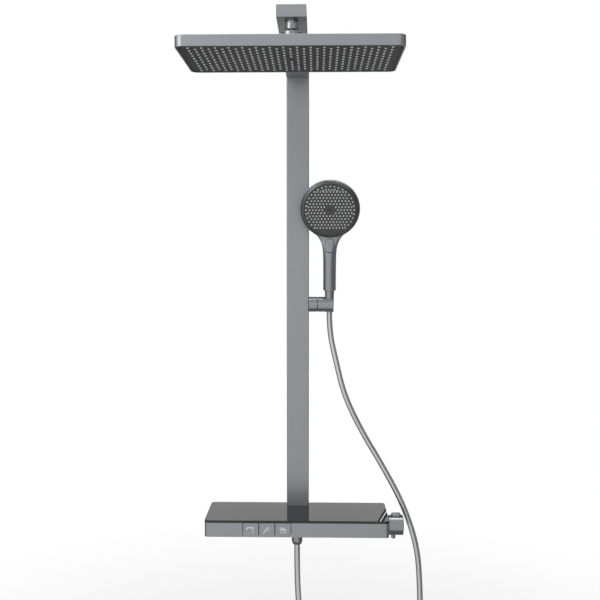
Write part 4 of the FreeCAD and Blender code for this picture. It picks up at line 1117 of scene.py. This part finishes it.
GLASS_TOP = 20.7
TICK_X = 191
TICK_LENGTH = 6
TICK_WIDTH = 1.2
TICK_HEIGHT = 0.05
for name, finish, front in (("cold_tick", blue_ink, -84), ("hot_tick", red_ink, -106)):
    tick = stroke([(TICK_X, front), (TICK_X, front - TICK_LENGTH)], TICK_WIDTH, TICK_HEIGHT)
    tick = from_shape(name, moved(tick, Matrix.Translation(mm(0, 0, GLASS_TOP))), [finish])
    finish_piece(tick, "frame")


# Mark on the mode button: a ring with three drops, laid on the button's curved front

MARK_HEIGHT = 0.1
MARK_RING = [(1.9, 0), (2.3, 0), (2.3, MARK_HEIGHT), (1.9, MARK_HEIGHT), (1.9, 0)]
MARK_RING_UP = 2.2
MARK_DROPS = (-1.5, 0, 1.5)
MARK_DROP_WIDTH = 0.4

mark = [moved(lathe(MARK_RING, sides=32), Matrix.Translation(mm(0, MARK_RING_UP, 0)))]
for x in MARK_DROPS:
    mark.append(stroke([(x, -0.9), (x, -2.6)], MARK_DROP_WIDTH, MARK_HEIGHT))
mark = merged(*mark)
for vertex in mark.verts:
    x, up, level = vertex.co / MM
    vertex.co = MODE_FRAME @ mm(x, up, neck_front(x, up) + MODE_PROUD + level)
finish_piece(from_shape("mode_mark", mark, [dark_ink]), "mode_button")


# Fittings: union nuts, hose nut, spout ends and the screws under the shelf

INLET_NUTS = {"left": -75, "right": 75}
INLET_Y = -42.5
INLET_ACROSS = 26.8
INLET_PROFILE = [
    (9, 0), (13.1, 0), (14.2, 0.7), (15.6, 1.5), (15.6, 18.5), (14.2, 19.3), (13.1, 20), (12.7, 20),
    (12.1, 19.4), (12.1, 9), (9, 9), (9, 0),
]
FLAT_UP = Matrix.Rotation(math.pi / 2, 4, "Z")
for side, x in INLET_NUTS.items():
    place = Matrix.Translation(mm(x, INLET_Y, 0)) @ UPRIGHT.inverted() @ FLAT_UP
    nut = moved(lathe(INLET_PROFILE, across=INLET_ACROSS), place)
    nut = from_shape(f"inlet_nut_{side}_skin", nut, [gunmetal], limit=25)
    finish_piece(nut, "frame", [f"inlet_nut_{side}"])

HOSE_NUT_Y = -135
HOSE_NUT_PROFILE = [
    (0, -16.5, 0), (11.9, -16.5, 0.5), (11.9, -19.2, 0.2), (11.4, -19.6, 0.2), (11.4, -20.4, 0.2),
    (11.9, -20.8, 0.2), (12, -36.4, 9), (9.6, -43.4, 4), (7.2, -43.5, 0.3), (6.7, -42.6, 0), (0, -42.6, 0),
]
hose_nut = moved(lathe(softened(HOSE_NUT_PROFILE, steps=8)), Matrix.Translation(mm(0, HOSE_NUT_Y, 0)))
hose_nut = from_shape("hose_nut_skin", hose_nut, [gunmetal_round_shaded])
finish_piece(hose_nut, "frame", ["hose_nut_lower"])

SPOUT_Y = -107.6
SPOUT_END_X = -155
SPOUT_PIVOT_X = -60
AERATOR_FLOOR = -26.6
AERATOR_PROFILE = [
    (0, -21.9, 0), (10, -21.9, 0.2), (10, -28.4, 0.6), (8.2, -28.4, 0.4), (8.2, AERATOR_FLOOR, 0.2),
    (0, AERATOR_FLOOR, 0),
]
rim = lathe(softened(AERATOR_PROFILE), sides=64)
rim = moved(rim, Matrix.Translation(mm(SPOUT_END_X, SPOUT_Y, 0)))
finish_piece(from_shape("aerator_rim", rim, [face_dark]), "spout", ["spout_aerator"])

CELL_PITCH = 1.5
CELL_ROW_PITCH = 1.3
CELL_REACH = 7.2
cells = []
for row in range(-5, 6):
    for column in range(-6, 7):
        spot = mm((column + (row % 2) / 2) * CELL_PITCH, row * CELL_ROW_PITCH, 0)
        if spot.length < CELL_REACH * MM:
            cells.append(spot)
cell_place = Matrix.Translation(mm(SPOUT_END_X, SPOUT_Y, AERATOR_FLOOR)) @ UPSIDE_DOWN
# Aerator cells: small nozzles, each with a dark disc on its tip painted as the shade in its hole
aerator_cells = spray_tree().made(
    "aerator_cells", cell_place, spots=cells, Root=0.62 * MM, Tip=0.56 * MM, Height=0.7 * MM,
    Body=silicone.material, Mouth=hole_shade.material,
)
finish_piece(aerator_cells, "spout")

CAP_PROFILE = [
    (0, -28.2, 0), (8.6, -28.2, 0), (8.6, -28.9, 0.5), (7.4, -29.4, 0.4), (2.6, -29.4, 0.3),
    (2.4, -28.8, 0.2), (0, -28.8, 0),
]
cap = lathe(softened(CAP_PROFILE), sides=48)
cap = moved(cap, Matrix.Translation(mm(SPOUT_PIVOT_X, SPOUT_Y, 0)))
finish_piece(from_shape("spout_pivot_cap", cap, [gunmetal_round_shaded]), "frame")

# The screws are set out on the upside-down underside, so their rows count from the wall forwards
SHELF_UNDER = -15.5
SCREW_SEAT = 0.05
SCREW_COLUMNS = (-186, 24, 186)
SCREW_ROWS = (161, 59)
screw_place = Matrix.Translation(mm(0, 0, SHELF_UNDER + SCREW_SEAT)) @ UPSIDE_DOWN
shelf_screws = screw_tree().made(
    "shelf_screws", screw_place, limit=20, spots=[mm(x, y, 0) for x in SCREW_COLUMNS for y in SCREW_ROWS],
    Root=3.4 * MM, Tip=2.7 * MM, Height=0.5 * MM, Socket=1.67 * MM, Metal=steel.material,
)
finish_piece(shelf_screws, "frame")


# Studio: white surroundings, a pale floor that keeps the shadow, soft lamps, and screens shown in gloss

AMBIENT = 0.46
WHITE = (1.0, 1.0, 1.0)
FLOOR_LEVEL = -0.56
FLOOR_HALF = 30.0
FADE_NEAR = 0.3
FADE_FAR = 1.7
FADE_LEAST = 0.6


def seen_by_eye_or_gloss(tree):
    """1 for what the camera sees, straight or in gloss, and 0 for what only lights the object."""
    path = grow(tree, "ShaderNodeLightPath", output="Is Camera Ray")
    every = path + path.output("Is Glossy Ray") + path.output("Is Transmission Ray")
    return path.maths("MINIMUM", every, 1.0)


def flat_sheet(half):
    shape = bmesh.new()
    bmesh.ops.create_grid(shape, x_segments=1, y_segments=1, size=half)
    return shape


world = bpy.data.worlds.new("studio")
world.use_nodes = True
scene.world = world
sky = world.node_tree.nodes["Background"]
plug(world.node_tree, sky.inputs["Color"], WHITE)
sky_strength = AMBIENT + (1 - AMBIENT) * seen_by_eye_or_gloss(world.node_tree)
plug(world.node_tree, sky.inputs["Strength"], sky_strength)


def pale_floor(name):
    """Matt floor that turns into white light away from the object and is clear from below."""
    finish = Finish(name, Roughness=0.9)
    finish.feed("Base Color", finish.blend(finish.noise(0.4), shade(WHITE, 0.9), shade(WHITE, 0.92)))
    lit = Flow(finish.tree, finish.shader.outputs[0])
    glow = finish.node("ShaderNodeEmission", None, {"Color": WHITE, "Strength": 1.0})
    away = finish.node("ShaderNodeVectorMath", {"operation": "LENGTH"}, {0: finish.place()}, output="Value")
    fade = finish.node(
        "ShaderNodeMapRange",
        {"interpolation_type": "SMOOTHSTEP"},
        {"Value": away, "From Min": FADE_NEAR, "From Max": FADE_FAR, "To Min": FADE_LEAST, "To Max": 1.0},
    )
    share = fade * seen_by_eye_or_gloss(finish.tree)
    above = finish.node("ShaderNodeMixShader", None, {0: share, 1: lit, 2: glow})
    below = finish.node("ShaderNodeNewGeometry", output="Backfacing")
    clear = finish.node("ShaderNodeBsdfTransparent")
    one_sided = finish.node("ShaderNodeMixShader", None, {0: below, 1: above, 2: clear})
    plug(finish.tree, finish.tree.nodes["Material Output"].inputs["Surface"], one_sided)
    return finish


floor = from_shape("floor", flat_sheet(FLOOR_HALF), [pale_floor("floor_pale")])
floor.location.z = FLOOR_LEVEL


def lamp(name, spot, target, wide, high, power):
    light = bpy.data.lights.new(name, "AREA")
    light.shape = "RECTANGLE"
    light.size = wide
    light.size_y = high
    light.energy = power
    obj = new_object(name, light)
    aimed(obj, spot, target)
    obj.visible_camera = False


lamp("key_lamp", (-2.2, -2.6, 2.0), (0, -0.2, 0.4), wide=1.8, high=2.8, power=46)
lamp("fill_lamp", (2.6, -2.2, 0.9), (0, -0.2, 0.4), wide=1.0, high=2.2, power=6)
lamp("top_lamp", (0.2, -0.15, 3.0), (0.2, -0.15, 0.4), wide=2.4, high=0.6, power=20)


def cloth(name, grey):
    finish = Finish(name, Roughness=1.0)
    finish.toned(finish.noise(20 * MM), (grey, grey, grey), 0.93, 1.07)
    return finish


grey_cloth = cloth("screen_grey", 0.3)
dark_cloth = cloth("screen_dark", 0.08)


def shown_in_gloss(obj):
    obj.visible_camera = False
    obj.visible_diffuse = False
    obj.visible_shadow = False
    obj.visible_transmission = False


def screen(name, finish, spot, target, wide, high):
    """Cloth screen that only shows in gloss."""
    obj = from_shape(name, flat_sheet(0.5), [finish])
    obj.scale = (wide, high, 1)
    aimed(obj, spot, target)
    shown_in_gloss(obj)


HAND_SPOT = (0.07, -0.1, 0.35)
HEAD_SPOT = (0, -0.5, 1.0)
screen("left_screen", grey_cloth, (-0.62, 0.55, 0.35), HAND_SPOT, wide=0.6, high=1.75)
screen("left_side_screen", grey_cloth, (-0.9, -0.02, 0.35), HAND_SPOT, wide=0.7, high=1.75)
screen("right_screen", grey_cloth, (0.87, 0.38, 0.35), HAND_SPOT, wide=0.8, high=1.75)
screen("right_front_screen", grey_cloth, (0.95, -0.62, 0.35), HAND_SPOT, wide=1.4, high=1.75)
screen("back_screen", dark_cloth, (0, 1.0, 0.74), (0, -0.5, 0.74), wide=1.2, high=0.4)
screen("left_high_screen", dark_cloth, (-0.8, -0.1, 1.05), HEAD_SPOT, wide=0.8, high=0.4)
screen("right_high_screen", dark_cloth, (0.8, -0.1, 1.05), HEAD_SPOT, wide=0.8, high=0.4)
screen("top_screen", dark_cloth, (0.1, 0.6, 1.2), (0.1, -0.1, 0.3), wide=1.6, high=0.8)
screen("floor_card", grey_cloth, (0.05, 0.07, -0.55), (0.05, 0.07, 1), wide=2.9, high=1.35)

# Leaning strips behind the shelf, a light one between two dark ones: the glass's right end mirrors them
STRIP_PLANE = 400
STRIP_TOP = 320
STRIP_LOW = 40
STRIP_LEAN = 164.5
strip_glow = Finish("strip_glow", Emission_Color=WHITE, Emission_Strength=3.0)
STRIPS = (
    ("left_strip", 158.2, 165, dark_cloth),
    ("light_strip", 165, 168, strip_glow),
    ("right_strip", 168, 176.2, dark_cloth),
)
for name, left, right, finish in STRIPS:
    strip = bmesh.new()
    upper = [(left, STRIP_TOP), (right, STRIP_TOP)]
    lower = [(right + STRIP_LEAN, STRIP_LOW), (left + STRIP_LEAN, STRIP_LOW)]
    strip.faces.new([strip.verts.new(mm(x, STRIP_PLANE, level)) for x, level in upper + lower])
    shown_in_gloss(from_shape(name, strip, [finish]))
